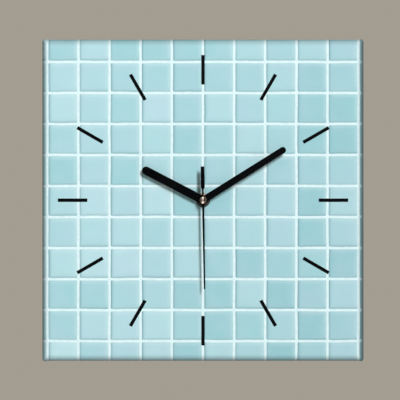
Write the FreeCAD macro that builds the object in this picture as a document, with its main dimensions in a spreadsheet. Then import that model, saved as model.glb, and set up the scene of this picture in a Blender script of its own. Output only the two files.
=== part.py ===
import FreeCAD, Part
import math
import os
import Sketcher

# Square wall clock built like a stretched-canvas print: a printed canvas skin over a
# board and four mitred stretcher bars, with a quartz movement behind the board.
# The origin is on the hand axis in the wall plane. X is right as seen from the front,
# Z is up, and Y runs from the viewer into the wall, so the front face is at negative Y.

DIMENSIONS = {
    # body of the clock
    "face_side": 300,
    "body_depth": 23,
    "canvas_thick": 0.5,
    "hem_width": 22,
    "edge_round": 4.3,
    "corner_round": 2.3,
    "board_thick": 4,
    "centre_hole": 4.4,
    "bar_width": 30,
    # printed hour bars
    "hour_bar_width": 3.2,
    "hour_bar_inner": 107.8,
    "hour_bar_outer": 135.3,
    "ink_thick": 0.12,
    # staples and V-nails
    "staple_crown": 10,
    "staple_wire": 1.2,
    "staple_thick": 0.5,
    "staple_leg": 6,
    "staple_inset": 15,
    "staple_pitch": 42,
    "nail_arm": 6,
    "nail_thick": 0.6,
    "nail_depth": 10,
    "nail_first": 124,
    "nail_pitch": 14,
    # movement case
    "case_side": 56,
    "case_depth": 16,
    "case_wall": 1.2,
    "case_corner": 2,
    "bay_top": -11.9,
    "chamber_floor": -10.7,
    "loop_height": 33.5,
    "loop_bore": 4,
    "loop_outer": 6.5,
    "loop_thick": 2.5,
    "contact_slot": 1.8,
    "slot_depth": 4,
    "pivot_seat": 0.7,
    "leg_thick": 1,
    "leg_length": 4,
    "leg_gap": 0.2,
    "top_leg_low": 18,
    "top_leg_high": 22,
    "side_leg_low": -4,
    "side_leg_high": 2,
    "plate_margin": 0.4,
    "post_radius": 1.5,
    "post_side": 24,
    "post_low": -8,
    "pivot_gap": 0.05,
    "stud_radius": 0.8,
    "seconds_boss": 1.6,
    "seconds_boss_front": -8.6,
    "inter_boss": 1.4,
    "inter_boss_front": -8.5,
    "train_boss_floor": -7.4,
    "rotor_boss": 1.5,
    "rotor_boss_front": -6,
    "rotor_boss_floor": -4.9,
    # clamping hardware on the front
    "rubber_thick": 0.8,
    "rubber_outer": 12,
    "bush_outer": 4,
    "bush_bore": 2.7,
    "bush_front": -26.3,
    "flange_radius": 5.5,
    "flange_thick": 0.6,
    "washer_outer": 6.6,
    "washer_thick": 0.5,
    "nut_flats": 11,
    "nut_thick": 2,
    # hands
    "hand_thick": 0.6,
    "hub_radius": 4.4,
    "hour_hand_angle": 297.4,
    "hour_hand_width": 7.8,
    "hour_hand_reach": 63.5,
    "hour_hand_front": -27.6,
    "minute_hand_angle": 57.9,
    "minute_hand_root": 6.4,
    "minute_hand_tip": 6,
    "minute_hand_reach": 90.4,
    "minute_hand_front": -29.8,
    "second_hand_angle": 179,
    "second_hand_root": 2.1,
    "second_hand_tip": 1.4,
    "second_hand_reach": 82.5,
    "second_hand_front": -31.6,
    "second_hand_thick": 0.3,
    "second_hub": 2.6,
    "tail_neck_width": 1.8,
    "tail_neck_end": 10,
    "tail_shoulder": 12.5,
    "tail_wide": 3.8,
    "tail_narrow": 3.3,
    "tail_reach": 31.3,
    "button_radius": 3.3,
    "button_front": -32.5,
    "sleeve_radius": 1.2,
    "sleeve_back": -30.5,
    # pipes and arbors on the centre
    "hour_pipe_outer": 2.6,
    "hour_pipe_bore": 1.8,
    "hour_pipe_front": -27.9,
    "minute_pipe_outer": 1.7,
    "minute_pipe_bore": 0.65,
    "minute_pipe_front": -30.2,
    "minute_pipe_back": -13.3,
    "seconds_arbor": 0.55,
    "seconds_arbor_front": -31.9,
    "seconds_arbor_back": -7.6,
    "pivot_radius": 0.4,
    "inter_arbor_back": -7.6,
    "rotor_arbor_back": -5.1,
    "seconds_neck": 0.85,
    "plate_centre_hole": 1.3,
    # places of the off-centre axes: distance and direction, each from its neighbour
    "motion_reach": 8.4,
    "motion_angle": 180,
    "knob_reach": 9.45,
    "knob_angle": 135,
    "third_reach": 9.9,
    "third_angle": 20,
    "inter_reach": 7.5,
    "inter_angle": 60,
    "rotor_reach": 7,
    "rotor_angle": 122.4,
    # teeth and tooth sizes of the gear train
    "rotor_teeth": 10,
    "inter_teeth": 60,
    "rotor_module": 0.2,
    "inter_pinion_teeth": 10,
    "seconds_teeth": 50,
    "seconds_module": 0.25,
    "seconds_pinion_teeth": 10,
    "third_teeth": 80,
    "third_module": 0.22,
    "third_pinion_teeth": 10,
    "centre_teeth": 75,
    "centre_module": 0.2329,
    "cannon_teeth": 12,
    "motion_teeth": 36,
    "knob_teeth": 18,
    "motion_module": 0.35,
    "motion_pinion_teeth": 10,
    "hour_teeth": 40,
    "hour_module": 0.336,
    # front faces of the layers of the gear train, and the thicknesses
    "wheel_thick": 0.6,
    "thin_wheel": 0.5,
    "pinion_thick": 0.9,
    "pinion_step": 0.2,
    "hour_layer": -16.2,
    "motion_layer": -15.2,
    "centre_layer": -14.1,
    "third_layer": -12.9,
    "plate_layer": -11.8,
    "plate_thick": 0.8,
    "seconds_layer": -10.5,
    "inter_layer": -9.4,
    "clutch_outer": 3.2,
    "clutch_thick": 0.25,
    # stepping motor
    "magnet_radius": 2.2,
    "magnet_front": -8.4,
    "magnet_thick": 2,
    "stator_front": -7.8,
    "stator_thick": 0.8,
    "stator_hole": 2.7,
    "stator_half": 11.5,
    "stator_bottom": 8.6,
    "stator_shoulder": 16.8,
    "stator_top": 25,
    "stator_leg": 3.5,
    "core_height": 3.2,
    "coil_level": 22.5,
    "bobbin_half": 6.6,
    "bobbin_tube": 1.9,
    "flange_outer": 3.5,
    "bobbin_flange": 0.8,
    "winding_outer": 3.2,
    "rivet_radius": 0.7,
    "rivet_head": 1.2,
    "rivet_head_thick": 0.5,
    # circuit board
    "circuit_left": 13,
    "circuit_right": 25,
    "circuit_bottom": -9.8,
    "circuit_top": 17,
    "circuit_front": -4.4,
    "circuit_thick": 0.8,
    "crystal_radius": 1,
    "crystal_length": 6,
    "crystal_inset": 3.5,
    "crystal_bottom": 6,
    "chip_radius": 3,
    "chip_inset": 5,
    "chip_height": 1,
    # cell and its contacts
    "cell_radius": 7.25,
    "cell_half": 25.25,
    "cell_depth": -9.15,
    "cell_level": -19.3,
    "sleeve_thick": 0.15,
    "nub_radius": 2.75,
    "nub_length": 1,
    "cap_radius": 4.5,
    "cap_thick": 1.2,
    "seal_recess": 0.4,
    "sleeve_recess": 0.6,
    "contact_thick": 0.4,
    "contact_gap": 0.1,
    "contact_bottom": -25.5,
    "contact_front": -15,
    "riser_front": -6.5,
    "riser_top": -9.4,
    "tongue_reach": 2.5,
    "tongue_low": -10,
    "tongue_high": -7.5,
    "rail_reach": 2,
    "rail_low": -10.3,
    "rail_high": -9.3,
    # setting knob
    "knob_radius": 6,
    "knob_front": -1.5,
    "knob_thick": 1.3,
    "knob_shaft": 1,
    "knob_ridges": 24,
    "groove_radius": 0.45,
    "groove_offset": 0.15,
}

# Depths along Y, each worked out from the sheet.
FRONT = "-dims.body_depth"
BOARD_FRONT = "(dims.canvas_thick - dims.body_depth)"
BOARD_BACK = "(dims.canvas_thick - dims.body_depth + dims.board_thick)"
BAR_BACK = "(-dims.canvas_thick)"
CASE_FRONT = f"({BOARD_BACK} + dims.rubber_thick)"
CHAMBER_FRONT = f"({CASE_FRONT} + dims.case_wall)"
CASE_BACK = f"({CASE_FRONT} + dims.case_depth)"
COVER_FRONT = f"({CASE_BACK} - dims.case_wall)"
PLATE_BACK = "(dims.plate_layer + dims.plate_thick)"

ALONG_Y = FreeCAD.Rotation(FreeCAD.Vector(1, 0, 0), -90)
ALONG_X = FreeCAD.Rotation(FreeCAD.Vector(0, 1, 0), 90)

doc = FreeCAD.newDocument("wall_clock")
sheet = doc.addObject("Spreadsheet::Sheet", "dims")
for row, (alias, number) in enumerate(DIMENSIONS.items(), start=1):
    sheet.set(f"A{row}", alias)
    sheet.set(f"B{row}", str(number))
    sheet.setAlias(f"B{row}", alias)
doc.recompute()

NODES = []


# ---------------------------------------------------------------- helpers

def value(rule):
    """Number that an expression over the sheet stands for."""
    found = sheet.evalExpression(rule)
    return float(getattr(found, "Value", found))


def bind(thing, **rules):
    """Tie properties of an object to the sheet; Placement parts use their short names."""
    places = {"at_x": "Placement.Base.x", "at_y": "Placement.Base.y", "at_z": "Placement.Base.z",
              "turn": "Placement.Rotation.Angle"}
    for name, rule in rules.items():
        thing.setExpression(places.get(name, name), rule)
    return thing


def node(thing, label):
    """Mark an object as one finished sub-part."""
    thing.Label = label
    NODES.append(thing)
    return thing


def round_bar(name, radius, start, end, x="0", z="0"):
    """Cylinder along Y between two depths."""
    bar = doc.addObject("Part::Cylinder", name)
    bar.Placement.Rotation = ALONG_Y
    return bind(bar, Radius=radius, Height=f"{end} - ({start})", at_x=x, at_y=start, at_z=z)


def cross_bar(name, radius, left, right, y, z):
    """Cylinder along X between two places."""
    bar = doc.addObject("Part::Cylinder", name)
    bar.Placement.Rotation = ALONG_X
    return bind(bar, Radius=radius, Height=f"{right} - ({left})", at_x=left, at_y=y, at_z=z)


def block(name, x, y, z):
    """Box given by its two ends along each axis."""
    box = doc.addObject("Part::Box", name)
    bind(box, Length=f"{x[1]} - ({x[0]})", Width=f"{y[1]} - ({y[0]})", Height=f"{z[1]} - ({z[0]})")
    return bind(box, at_x=x[0], at_y=y[0], at_z=z[0])


def fused(name, parts):
    joined = doc.addObject("Part::MultiFuse", name)
    joined.Shapes = parts
    return joined


def cut(name, base, *tools):
    """Base with every tool taken away."""
    result = doc.addObject("Part::Cut", name)
    result.Base = base
    result.Tool = tools[0] if len(tools) == 1 else fused(name + "_tools", list(tools))
    return result


def group(name, parts):
    """Several separate solids that share one node."""
    together = doc.addObject("Part::Compound", name)
    together.Links = parts
    return together


def ring(name, outer, bore, start, end, x="0", z="0"):
    """Washer or tube along Y."""
    disc = round_bar(name + "_disc", outer, start, end, x, z)
    hole = round_bar(name + "_hole", bore, f"{start} - 1", f"{end} + 1", x, z)
    return cut(name, disc, hole)


def rounded_block(name, half, start, end, corner, front):
    """Square block round the origin: the four long edges and the front edges are rounded."""
    box = block(name + "_blank", (f"-{half}", half), (start, end), (f"-{half}", half))
    doc.recompute()
    near = value(start)
    edges = []
    for number, edge in enumerate(box.Shape.Edges, start=1):
        depths = [vertex.Point.y for vertex in edge.Vertexes]
        if max(depths) - near < 0.01:
            edges.append((number, front, front))
        elif max(depths) - min(depths) > 0.01:
            edges.append((number, corner, corner))
    solid = doc.addObject("Part::Fillet", name)
    solid.Base = box
    solid.Edges = [edge for edge in edges if edge[1] > 0]
    return solid


def body(label, back):
    """PartDesign body whose sketches lie in an upright plane at a depth."""
    made = doc.addObject("PartDesign::Body", label + "_body")
    return bind(made, at_y=back)


def sketch(owner, name):
    drawing = owner.newObject("Sketcher::SketchObject", name)
    drawing.AttachmentSupport = [(plane, "") for plane in owner.Origin.OriginFeatures
                                 if plane.Role == "XZ_Plane"]
    drawing.MapMode = "FlatFace"
    return drawing


def pin_point(drawing, geometry, point, x, z):
    """Tie a sketch point to a place given by two expressions."""
    for kind, rule, other_axis in (("DistanceX", x, -2), ("DistanceY", z, -1)):
        if abs(value(rule)) < 1e-9:
            drawing.addConstraint(Sketcher.Constraint("PointOnObject", geometry, point, other_axis))
            continue
        index = drawing.addConstraint(
            Sketcher.Constraint(kind, -1, 1, geometry, point, value(rule)))
        drawing.setExpression(f"Constraints[{index}]", rule)


def draw_polygon(drawing, corners):
    """Closed outline through corners given as pairs of expressions."""
    places = [FreeCAD.Vector(value(x), value(z), 0) for x, z in corners]
    first = len(drawing.Geometry)
    count = len(places)
    for index, place in enumerate(places):
        drawing.addGeometry(Part.LineSegment(place, places[(index + 1) % count]), False)
    for index, (x, z) in enumerate(corners):
        line = first + index
        joined_to = first + (index + 1) % count
        drawing.addConstraint(Sketcher.Constraint("Coincident", line, 2, joined_to, 1))
        pin_point(drawing, line, 1, x, z)


def draw_circle(drawing, x, z, radius):
    place = FreeCAD.Vector(value(x), value(z), 0)
    circle = drawing.addGeometry(Part.Circle(place, FreeCAD.Vector(0, 0, 1), value(radius)), False)
    pin_point(drawing, circle, 3, x, z)
    index = drawing.addConstraint(Sketcher.Constraint("Radius", circle, value(radius)))
    drawing.setExpression(f"Constraints[{index}]", radius)


def pad(owner, drawing, length):
    """Push a sketch toward the viewer."""
    solid = owner.newObject("PartDesign::Pad", drawing.Name + "_pad")
    solid.Profile = drawing
    solid.setExpression("Length", length)
    owner.Tip = solid
    return solid


def bore_through(owner, holes):
    """Cut round holes, each (x, z, radius), right through a body."""
    drawing = sketch(owner, owner.Name + "_holes")
    for x, z, radius in holes:
        draw_circle(drawing, x, z, radius)
    doc.recompute()
    before = owner.Shape.Volume
    pocket = owner.newObject("PartDesign::Pocket", owner.Name + "_pocket")
    pocket.Profile = drawing
    pocket.Type = "ThroughAll"
    pocket.Midplane = True
    owner.Tip = pocket
    doc.recompute()
    if owner.Shape.Volume >= before:
        raise RuntimeError(f"the holes in {owner.Name} cut nothing")


def polar(reach, angle, start=("0", "0")):
    """Place at a distance and direction, in the XZ plane, from another place."""
    x = f"({start[0]} + dims.{reach} * cos(dims.{angle} * 1 deg))"
    z = f"({start[1]} + dims.{reach} * sin(dims.{angle} * 1 deg))"
    return x, z


CENTRE = ("0", "0")
MOTION = polar("motion_reach", "motion_angle")
KNOB = polar("knob_reach", "knob_angle", MOTION)
THIRD = polar("third_reach", "third_angle")
INTER = polar("inter_reach", "inter_angle")
ROTOR = polar("rotor_reach", "rotor_angle", INTER)


# ---------------------------------------------------------------- gear teeth

PRESSURE_ANGLE = math.radians(25)
ADDENDUM = 0.8
DEDENDUM = 1.05
BACKLASH = 0.12


def involute_turn(radius, base):
    """Angle by which an involute has turned away from its root at a radius."""
    if radius <= base:
        return 0.0
    pressure = math.acos(base / radius)
    return math.tan(pressure) - pressure


def tooth_outline(teeth, module):
    """Radii of one tooth and its half angle at each of them, from the root to the tip."""
    pitch = teeth * module / 2
    base = pitch * math.cos(PRESSURE_ANGLE)
    root = pitch - DEDENDUM * module
    tip = pitch + ADDENDUM * module
    start = max(root, base)
    half_at_pitch = math.pi / (2 * teeth) - BACKLASH * module / (4 * pitch)
    radii = [start, (start + tip) / 2, tip]
    halves = [half_at_pitch + involute_turn(pitch, base) - involute_turn(radius, base)
              for radius in radii]
    return root, radii, halves


def gear(name, teeth, module, phase, start, end, place=CENTRE):
    """Toothed wheel along Y; one tooth's middle points at the angle `phase` in the XZ plane."""
    count = round(value(teeth))
    root, radii, halves = tooth_outline(count, value(module))
    pitch_angle = 2 * math.pi / count

    def at(radius, angle):
        return FreeCAD.Vector(radius * math.cos(angle), 0, radius * math.sin(angle))

    edges = []
    for tooth in range(count):
        middle = phase + tooth * pitch_angle
        rising = [at(radius, middle - half) for radius, half in zip(radii, halves)]
        falling = [at(radius, middle + half) for radius, half in zip(radii, halves)]
        low_before = at(root, middle - halves[0])
        low_after = at(root, middle + halves[0])
        if radii[0] - root > 1e-6:
            edges.append(Part.LineSegment(low_before, rising[0]).toShape())
        edges.append(Part.Arc(*rising).toShape())
        edges.append(Part.Arc(rising[2], at(radii[2], middle), falling[2]).toShape())
        edges.append(Part.Arc(falling[2], falling[1], falling[0]).toShape())
        if radii[0] - root > 1e-6:
            edges.append(Part.LineSegment(falling[0], low_after).toShape())
        next_low = at(root, middle + pitch_angle - halves[0])
        valley = at(root, middle + pitch_angle / 2)
        edges.append(Part.Arc(low_after, valley, next_low).toShape())
    face = Part.Face(Part.Wire(edges))
    near = value(start)
    blank = doc.addObject("Part::Feature", name)
    blank.Shape = face.extrude(FreeCAD.Vector(0, value(end) - near, 0))
    blank.Placement.Base = FreeCAD.Vector(value(place[0]), near, value(place[1]))
    return blank


def meshing_phase(phase, teeth, place, other_teeth, other_place):
    """Phase of the second wheel that puts its gap on the first wheel's tooth."""
    first, second = value(teeth), value(other_teeth)
    across = value(other_place[0]) - value(place[0])
    up = value(other_place[1]) - value(place[1])
    toward = math.atan2(up, across)
    share = 0.5 - (phase - toward) * first / (2 * math.pi)
    return toward + math.pi + share * 2 * math.pi / second


# ---------------------------------------------------------------- canvas, board and bars

def make_canvas():
    """Skin 0.5 mm thick over the front and sides, folded to a hem on the back."""
    outer = rounded_block("canvas_outer", "dims.face_side / 2", FRONT, "0",
                          sheet.corner_round, sheet.edge_round)
    thick = sheet.canvas_thick
    inner_half = "(dims.face_side / 2 - dims.canvas_thick)"
    inner = rounded_block("canvas_inner", inner_half, BOARD_FRONT, BAR_BACK,
                          sheet.corner_round - thick, sheet.edge_round - thick)
    mouth_half = "(dims.face_side / 2 - dims.canvas_thick - dims.hem_width)"
    mouth = block("canvas_mouth", (f"-{mouth_half}", mouth_half), (f"{BAR_BACK} - 1", "1"),
                  (f"-{mouth_half}", mouth_half))
    hole = round_bar("canvas_hole", "dims.centre_hole", f"{FRONT} - 1", f"{BOARD_FRONT} + 1")
    node(cut("canvas", outer, inner, mouth, hole), "canvas_print")


def make_hour_marks():
    """Twelve thin radial ink bars."""
    bars = []
    for hour in range(12):
        bar = block(f"hour_bar_{hour}", ("-dims.hour_bar_width / 2", "dims.hour_bar_width / 2"),
                    ("0", "dims.ink_thick"), ("dims.hour_bar_inner", "dims.hour_bar_outer"))
        holder = group(f"hour_place_{hour}", [bar])
        holder.Placement.Rotation = FreeCAD.Rotation(FreeCAD.Vector(0, 1, 0), 30 * hour)
        bars.append(bind(holder, at_y=f"{FRONT} - dims.ink_thick"))
    node(group("marks", bars), "hour_marks")


def make_board():
    """Backing board with the canvas's own roundings and a hole for the bush."""
    half = "(dims.face_side / 2 - dims.canvas_thick)"
    thick = sheet.canvas_thick
    blank = rounded_block("board", half, BOARD_FRONT, BOARD_BACK,
                          sheet.corner_round - thick, sheet.edge_round - thick)
    hole = round_bar("board_hole", "dims.centre_hole", f"{BOARD_FRONT} - 1", f"{BOARD_BACK} + 1")
    node(cut("bored_board", blank, hole), "backing_board")


def make_bars():
    """Four mitred bars; each is the same sketch, turned a quarter."""
    outer = "(dims.face_side / 2 - dims.canvas_thick)"
    inner = f"({outer} - dims.bar_width)"
    corner = "(dims.corner_round - dims.canvas_thick)"
    shoulder = f"({outer} - {corner})"
    miter = f"({outer} - {corner} * (1 - 1 / sqrt(2)))"
    outline = [(f"-{shoulder}", outer), (shoulder, outer), (miter, miter), (inner, inner),
               (f"-{inner}", inner), (f"-{miter}", miter)]
    for turn, side in enumerate(("top", "right", "bottom", "left")):
        bar = body(f"bar_{side}", BAR_BACK)
        drawing = sketch(bar, f"bar_{side}_outline")
        draw_polygon(drawing, outline)
        pad(bar, drawing, f"{BAR_BACK} - {BOARD_BACK}")
        bar.Placement.Rotation = FreeCAD.Rotation(FreeCAD.Vector(0, 1, 0), 90 * turn)
        node(bar, f"stretcher_bar_{side}")


def make_staples():
    """Staples on the hem, each a crown with two legs driven into the bar."""
    staples = []
    half = "dims.staple_crown / 2"
    line = "(dims.face_side / 2 - dims.staple_inset)"
    for side in range(4):
        for step in (-2.5, -1.5, -0.5, 0.5, 1.5, 2.5):
            name = f"staple_{side}_{len(staples)}"
            low, high = f"{step} * dims.staple_pitch - {half}", f"{step} * dims.staple_pitch + {half}"
            tall = (line, f"{line} + dims.staple_wire")
            crown = block(name + "_crown", (low, high), (BAR_BACK, "0"), tall)
            legs = [block(name + "_leg_a", (low, f"{low} + dims.staple_thick"),
                          (f"{BAR_BACK} - dims.staple_leg", BAR_BACK), tall),
                    block(name + "_leg_b", (f"{high} - dims.staple_thick", high),
                          (f"{BAR_BACK} - dims.staple_leg", BAR_BACK), tall)]
            staple = fused(name, [crown] + legs)
            staple.Placement.Rotation = FreeCAD.Rotation(FreeCAD.Vector(0, 1, 0), 90 * side)
            staples.append(staple)
    node(group("staples", staples), "canvas_staples")


def make_v_nails():
    """Two V-nails across each mitre, apex outward, driven in from the back."""
    nails = []
    depth = (f"{BAR_BACK} - dims.nail_depth", BAR_BACK)
    for corner in range(4):
        for step in range(2):
            name = f"v_nail_{corner}_{step}"
            apex = f"(dims.nail_first + {step} * dims.nail_pitch)"
            long_way = (f"{apex} - dims.nail_arm", apex)
            short_way = (f"{apex} - dims.nail_thick", apex)
            nail = fused(name, [block(name + "_a", long_way, depth, short_way),
                                block(name + "_b", short_way, depth, long_way)])
            nail.Placement.Rotation = FreeCAD.Rotation(FreeCAD.Vector(0, 1, 0), 90 * corner)
            nails.append(nail)
    node(group("v_nails", nails), "corner_v_nails")


# ---------------------------------------------------------------- movement case

def make_front_case():
    """Moulded tub: gear chamber above, open battery bay below, hanger loop on top."""
    half = "(dims.case_side / 2)"
    inner = "(dims.case_side / 2 - dims.case_wall)"
    wide = (f"-{inner}", inner)
    shell = rounded_block("case_shell", half, CASE_FRONT, CASE_BACK, sheet.case_corner, 0)
    loop = round_bar("loop_disc", "dims.loop_outer", f"{COVER_FRONT} - dims.loop_thick",
                     COVER_FRONT, "0", "dims.loop_height")
    web = block("loop_web", ("-dims.loop_outer", "dims.loop_outer"),
                (f"{COVER_FRONT} - dims.loop_thick", COVER_FRONT),
                (f"{half} - 0.5", "dims.loop_height - dims.loop_bore"))
    outside = fused("case_outside", [shell, loop, web])
    chamber = block("chamber", wide, (CHAMBER_FRONT, f"{CASE_BACK} + 1"),
                    ("dims.chamber_floor", inner))
    bay = block("bay", wide, (CHAMBER_FRONT, f"{CASE_BACK} + 1"), (f"-{inner}", "dims.bay_top"))
    seat = block("cover_seat", (f"-{half} - 1", f"{half} + 1"), (COVER_FRONT, f"{CASE_BACK} + 1"),
                 ("dims.bay_top", f"{half} + 1"))
    slot_depth = (f"{COVER_FRONT} - dims.slot_depth", COVER_FRONT)
    slots = [block(f"contact_slot_{side}", ends, slot_depth,
                   ("dims.bay_top - 1", "dims.chamber_floor + 1"))
             for side, ends in (("left", (f"-{inner}", f"-{inner} + dims.contact_slot")),
                                ("right", (f"{inner} - dims.contact_slot", inner)))]
    neck = round_bar("case_neck", "dims.bush_outer", f"{CASE_FRONT} - 1", CHAMBER_FRONT)
    seat_ring = round_bar("flange_seat", "dims.flange_radius",
                          f"{CHAMBER_FRONT} - dims.flange_thick", CHAMBER_FRONT)
    loop_hole = round_bar("loop_hole", "dims.loop_bore", f"{COVER_FRONT} - 5",
                          f"{COVER_FRONT} + 1", "0", "dims.loop_height")
    seat_floor = f"{CHAMBER_FRONT} - dims.pivot_seat"
    third_hole = round_bar("third_seat", "dims.pivot_radius + dims.pivot_gap",
                           seat_floor, f"{CHAMBER_FRONT} + 0.1", *THIRD)
    knob_hole = round_bar("knob_seat", "dims.knob_shaft + dims.pivot_gap",
                          seat_floor, f"{CHAMBER_FRONT} + 0.1", *KNOB)
    tub = cut("case_tub", outside, chamber, bay, seat, *slots, neck, seat_ring, loop_hole,
              third_hole, knob_hole)
    side, high, low = "dims.post_side", "dims.post_side", "dims.post_low"
    posts = [round_bar(f"case_post_{index}", "dims.post_radius", f"{CHAMBER_FRONT} - 0.5",
                       "dims.plate_layer", x, z)
             for index, (x, z) in enumerate(((f"-{side}", high), (side, high),
                                             (f"-{side}", low), (side, low)))]
    stud = round_bar("motion_stud", "dims.stud_radius", f"{CHAMBER_FRONT} - 0.5",
                     "dims.motion_layer + dims.wheel_thick", *MOTION)
    node(fused("case_front", [tub, stud] + posts), "front_case")


def boss(name, place, radius, front, hole_end, hole_radius):
    """Hollow boss on the inside of the cover that holds the back pivot of an axis."""
    column = round_bar(name, radius, front, f"{COVER_FRONT} + 0.2", *place)
    hole = round_bar(name + "_hole", hole_radius, f"{front} - 1", hole_end, *place)
    return column, hole


def make_rear_case():
    """Cover over the gear chamber, with pivot bosses and three snap legs."""
    half = "(dims.case_side / 2)"
    inner = "(dims.case_side / 2 - dims.case_wall)"
    cover = block("cover", (f"-{half}", half), (COVER_FRONT, CASE_BACK), ("dims.bay_top + 0.1", half))
    leg_out = f"({inner} - dims.leg_gap)"
    leg_depth = (f"{COVER_FRONT} - dims.leg_length", f"{COVER_FRONT} + 0.2")
    left_leg = (f"-{leg_out}", f"-{leg_out} + dims.leg_thick")
    right_leg = (f"{leg_out} - dims.leg_thick", leg_out)
    top = ("dims.top_leg_low", "dims.top_leg_high")
    side = ("dims.side_leg_low", "dims.side_leg_high")
    legs = [block("snap_leg_top_left", left_leg, leg_depth, top),
            block("snap_leg_top_right", right_leg, leg_depth, top),
            block("snap_leg_side", left_leg, leg_depth, side)]
    pivot_hole = "dims.pivot_radius + dims.pivot_gap"
    bosses = [boss("seconds_boss", CENTRE, "dims.seconds_boss", "dims.seconds_boss_front",
                   "dims.train_boss_floor", "dims.seconds_arbor + dims.pivot_gap"),
              boss("inter_boss", INTER, "dims.inter_boss", "dims.inter_boss_front",
                   "dims.train_boss_floor", pivot_hole),
              boss("rotor_boss", ROTOR, "dims.rotor_boss", "dims.rotor_boss_front",
                   "dims.rotor_boss_floor", pivot_hole)]
    columns = [column for column, hole in bosses]
    holes = [hole for column, hole in bosses]
    knob_hole = round_bar("cover_knob_hole", "dims.knob_shaft + 2 * dims.pivot_gap",
                          f"{COVER_FRONT} - 1", f"{CASE_BACK} + 1", *KNOB)
    whole = fused("cover_whole", [cover] + legs + columns)
    node(cut("case_rear", whole, knob_hole, *holes), "rear_case")


def make_middle_plate():
    """Plate between the two halves of the train, resting on the four posts."""
    half = "(dims.case_side / 2 - dims.case_wall - dims.plate_margin)"
    low = "dims.chamber_floor + dims.plate_margin"
    plate = body("plate", PLATE_BACK)
    drawing = sketch(plate, "plate_outline")
    draw_polygon(drawing, [(f"-{half}", low), (half, low), (half, half), (f"-{half}", half)])
    pad(plate, drawing, "dims.plate_thick")
    pivot_hole = "dims.pivot_radius + dims.pivot_gap"
    shaft_hole = "dims.knob_shaft + 2 * dims.pivot_gap"
    bore_through(plate, [(*CENTRE, "dims.plate_centre_hole"), (*THIRD, pivot_hole),
                         (*INTER, pivot_hole), (*ROTOR, pivot_hole), (*KNOB, shaft_hole)])
    node(plate, "middle_plate")


def make_clamping_hardware():
    """Bush, rubber washer, brass washer and hex nut that hold the movement to the board."""
    flange = round_bar("bush_flange", "dims.flange_radius",
                       f"{CHAMBER_FRONT} - dims.flange_thick", CHAMBER_FRONT)
    stem = round_bar("bush_stem", "dims.bush_outer", "dims.bush_front", CHAMBER_FRONT)
    bore = round_bar("bush_hole", "dims.bush_bore", "dims.bush_front - 1", f"{CHAMBER_FRONT} + 1")
    node(cut("bush", fused("bush_solid", [flange, stem]), bore), "threaded_bush")
    node(ring("rubber_ring", "dims.rubber_outer", "dims.centre_hole", BOARD_BACK, CASE_FRONT),
         "rubber_washer")
    node(ring("washer_ring", "dims.washer_outer", "dims.bush_outer + 0.1",
              f"{FRONT} - dims.washer_thick", FRONT), "brass_washer")
    nut = body("nut", f"{FRONT} - dims.washer_thick")
    drawing = sketch(nut, "nut_outline")
    reach = "(dims.nut_flats / 2 / cos(30 deg))"
    draw_polygon(drawing, [(f"{reach} * cos({60 * corner} deg)", f"{reach} * sin({60 * corner} deg)")
                           for corner in range(6)])
    pad(nut, drawing, "dims.nut_thick")
    bore_through(nut, [(*CENTRE, "dims.bush_outer")])
    node(nut, "hex_nut")


# ---------------------------------------------------------------- gear train

def pipe_and_bore(name, outer, bore, start, end):
    solid = round_bar(name + "_barrel", outer, start, end)
    hole = round_bar(name + "_bore", bore, f"{start} - 1", f"{end} + 1")
    return solid, hole


def layer(front, thick="dims.wheel_thick"):
    """Both depths of a layer of the train."""
    return front, f"({front} + {thick})"


def make_motion_train():
    """Minute pipe, motion wheel, hour wheel, setting pinion and knob."""
    cannon_start = "dims.motion_layer - dims.pinion_step"
    cannon_end = "dims.motion_layer + dims.pinion_thick"
    module = "dims.motion_module"
    cannon = gear("cannon_teeth_solid", "dims.cannon_teeth", module, 0, cannon_start, cannon_end)
    pipe, hole = pipe_and_bore("minute", "dims.minute_pipe_outer", "dims.minute_pipe_bore",
                               "dims.minute_pipe_front", "dims.minute_pipe_back")
    node(cut("cannon", fused("cannon_solid", [cannon, pipe]), hole), "minute_pipe")

    phase = meshing_phase(0, "dims.cannon_teeth", CENTRE, "dims.motion_teeth", MOTION)
    wheel = gear("motion_teeth_solid", "dims.motion_teeth", module, phase,
                 *layer("dims.motion_layer"), MOTION)
    pinion = gear("motion_pinion_solid", "dims.motion_pinion_teeth", "dims.hour_module", 0,
                  "dims.hour_layer - dims.pinion_step", "dims.motion_layer", MOTION)
    stud_hole = round_bar("motion_bore", "dims.stud_radius + dims.pivot_gap", "dims.hour_layer - 1",
                          "dims.motion_layer + 1", *MOTION)
    node(cut("motion", fused("motion_solid", [wheel, pinion]), stud_hole), "motion_wheel")

    hour_phase = meshing_phase(0, "dims.motion_pinion_teeth", MOTION, "dims.hour_teeth", CENTRE)
    hour_start, hour_end = layer("dims.hour_layer")
    hour = gear("hour_teeth_solid", "dims.hour_teeth", "dims.hour_module", hour_phase,
                hour_start, hour_end)
    pipe, hole = pipe_and_bore("hour", "dims.hour_pipe_outer", "dims.hour_pipe_bore",
                               "dims.hour_pipe_front", hour_end)
    node(cut("hour", fused("hour_solid", [hour, pipe]), hole), "hour_wheel")

    knob_phase = meshing_phase(phase, "dims.motion_teeth", MOTION, "dims.knob_teeth", KNOB)
    setting = gear("knob_teeth_solid", "dims.knob_teeth", module, knob_phase,
                   cannon_start, cannon_end, KNOB)
    shaft_hole = round_bar("setting_bore", "dims.knob_shaft", "dims.hour_layer",
                           "dims.centre_layer", *KNOB)
    node(cut("setting", setting, shaft_hole), "setting_pinion")


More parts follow.
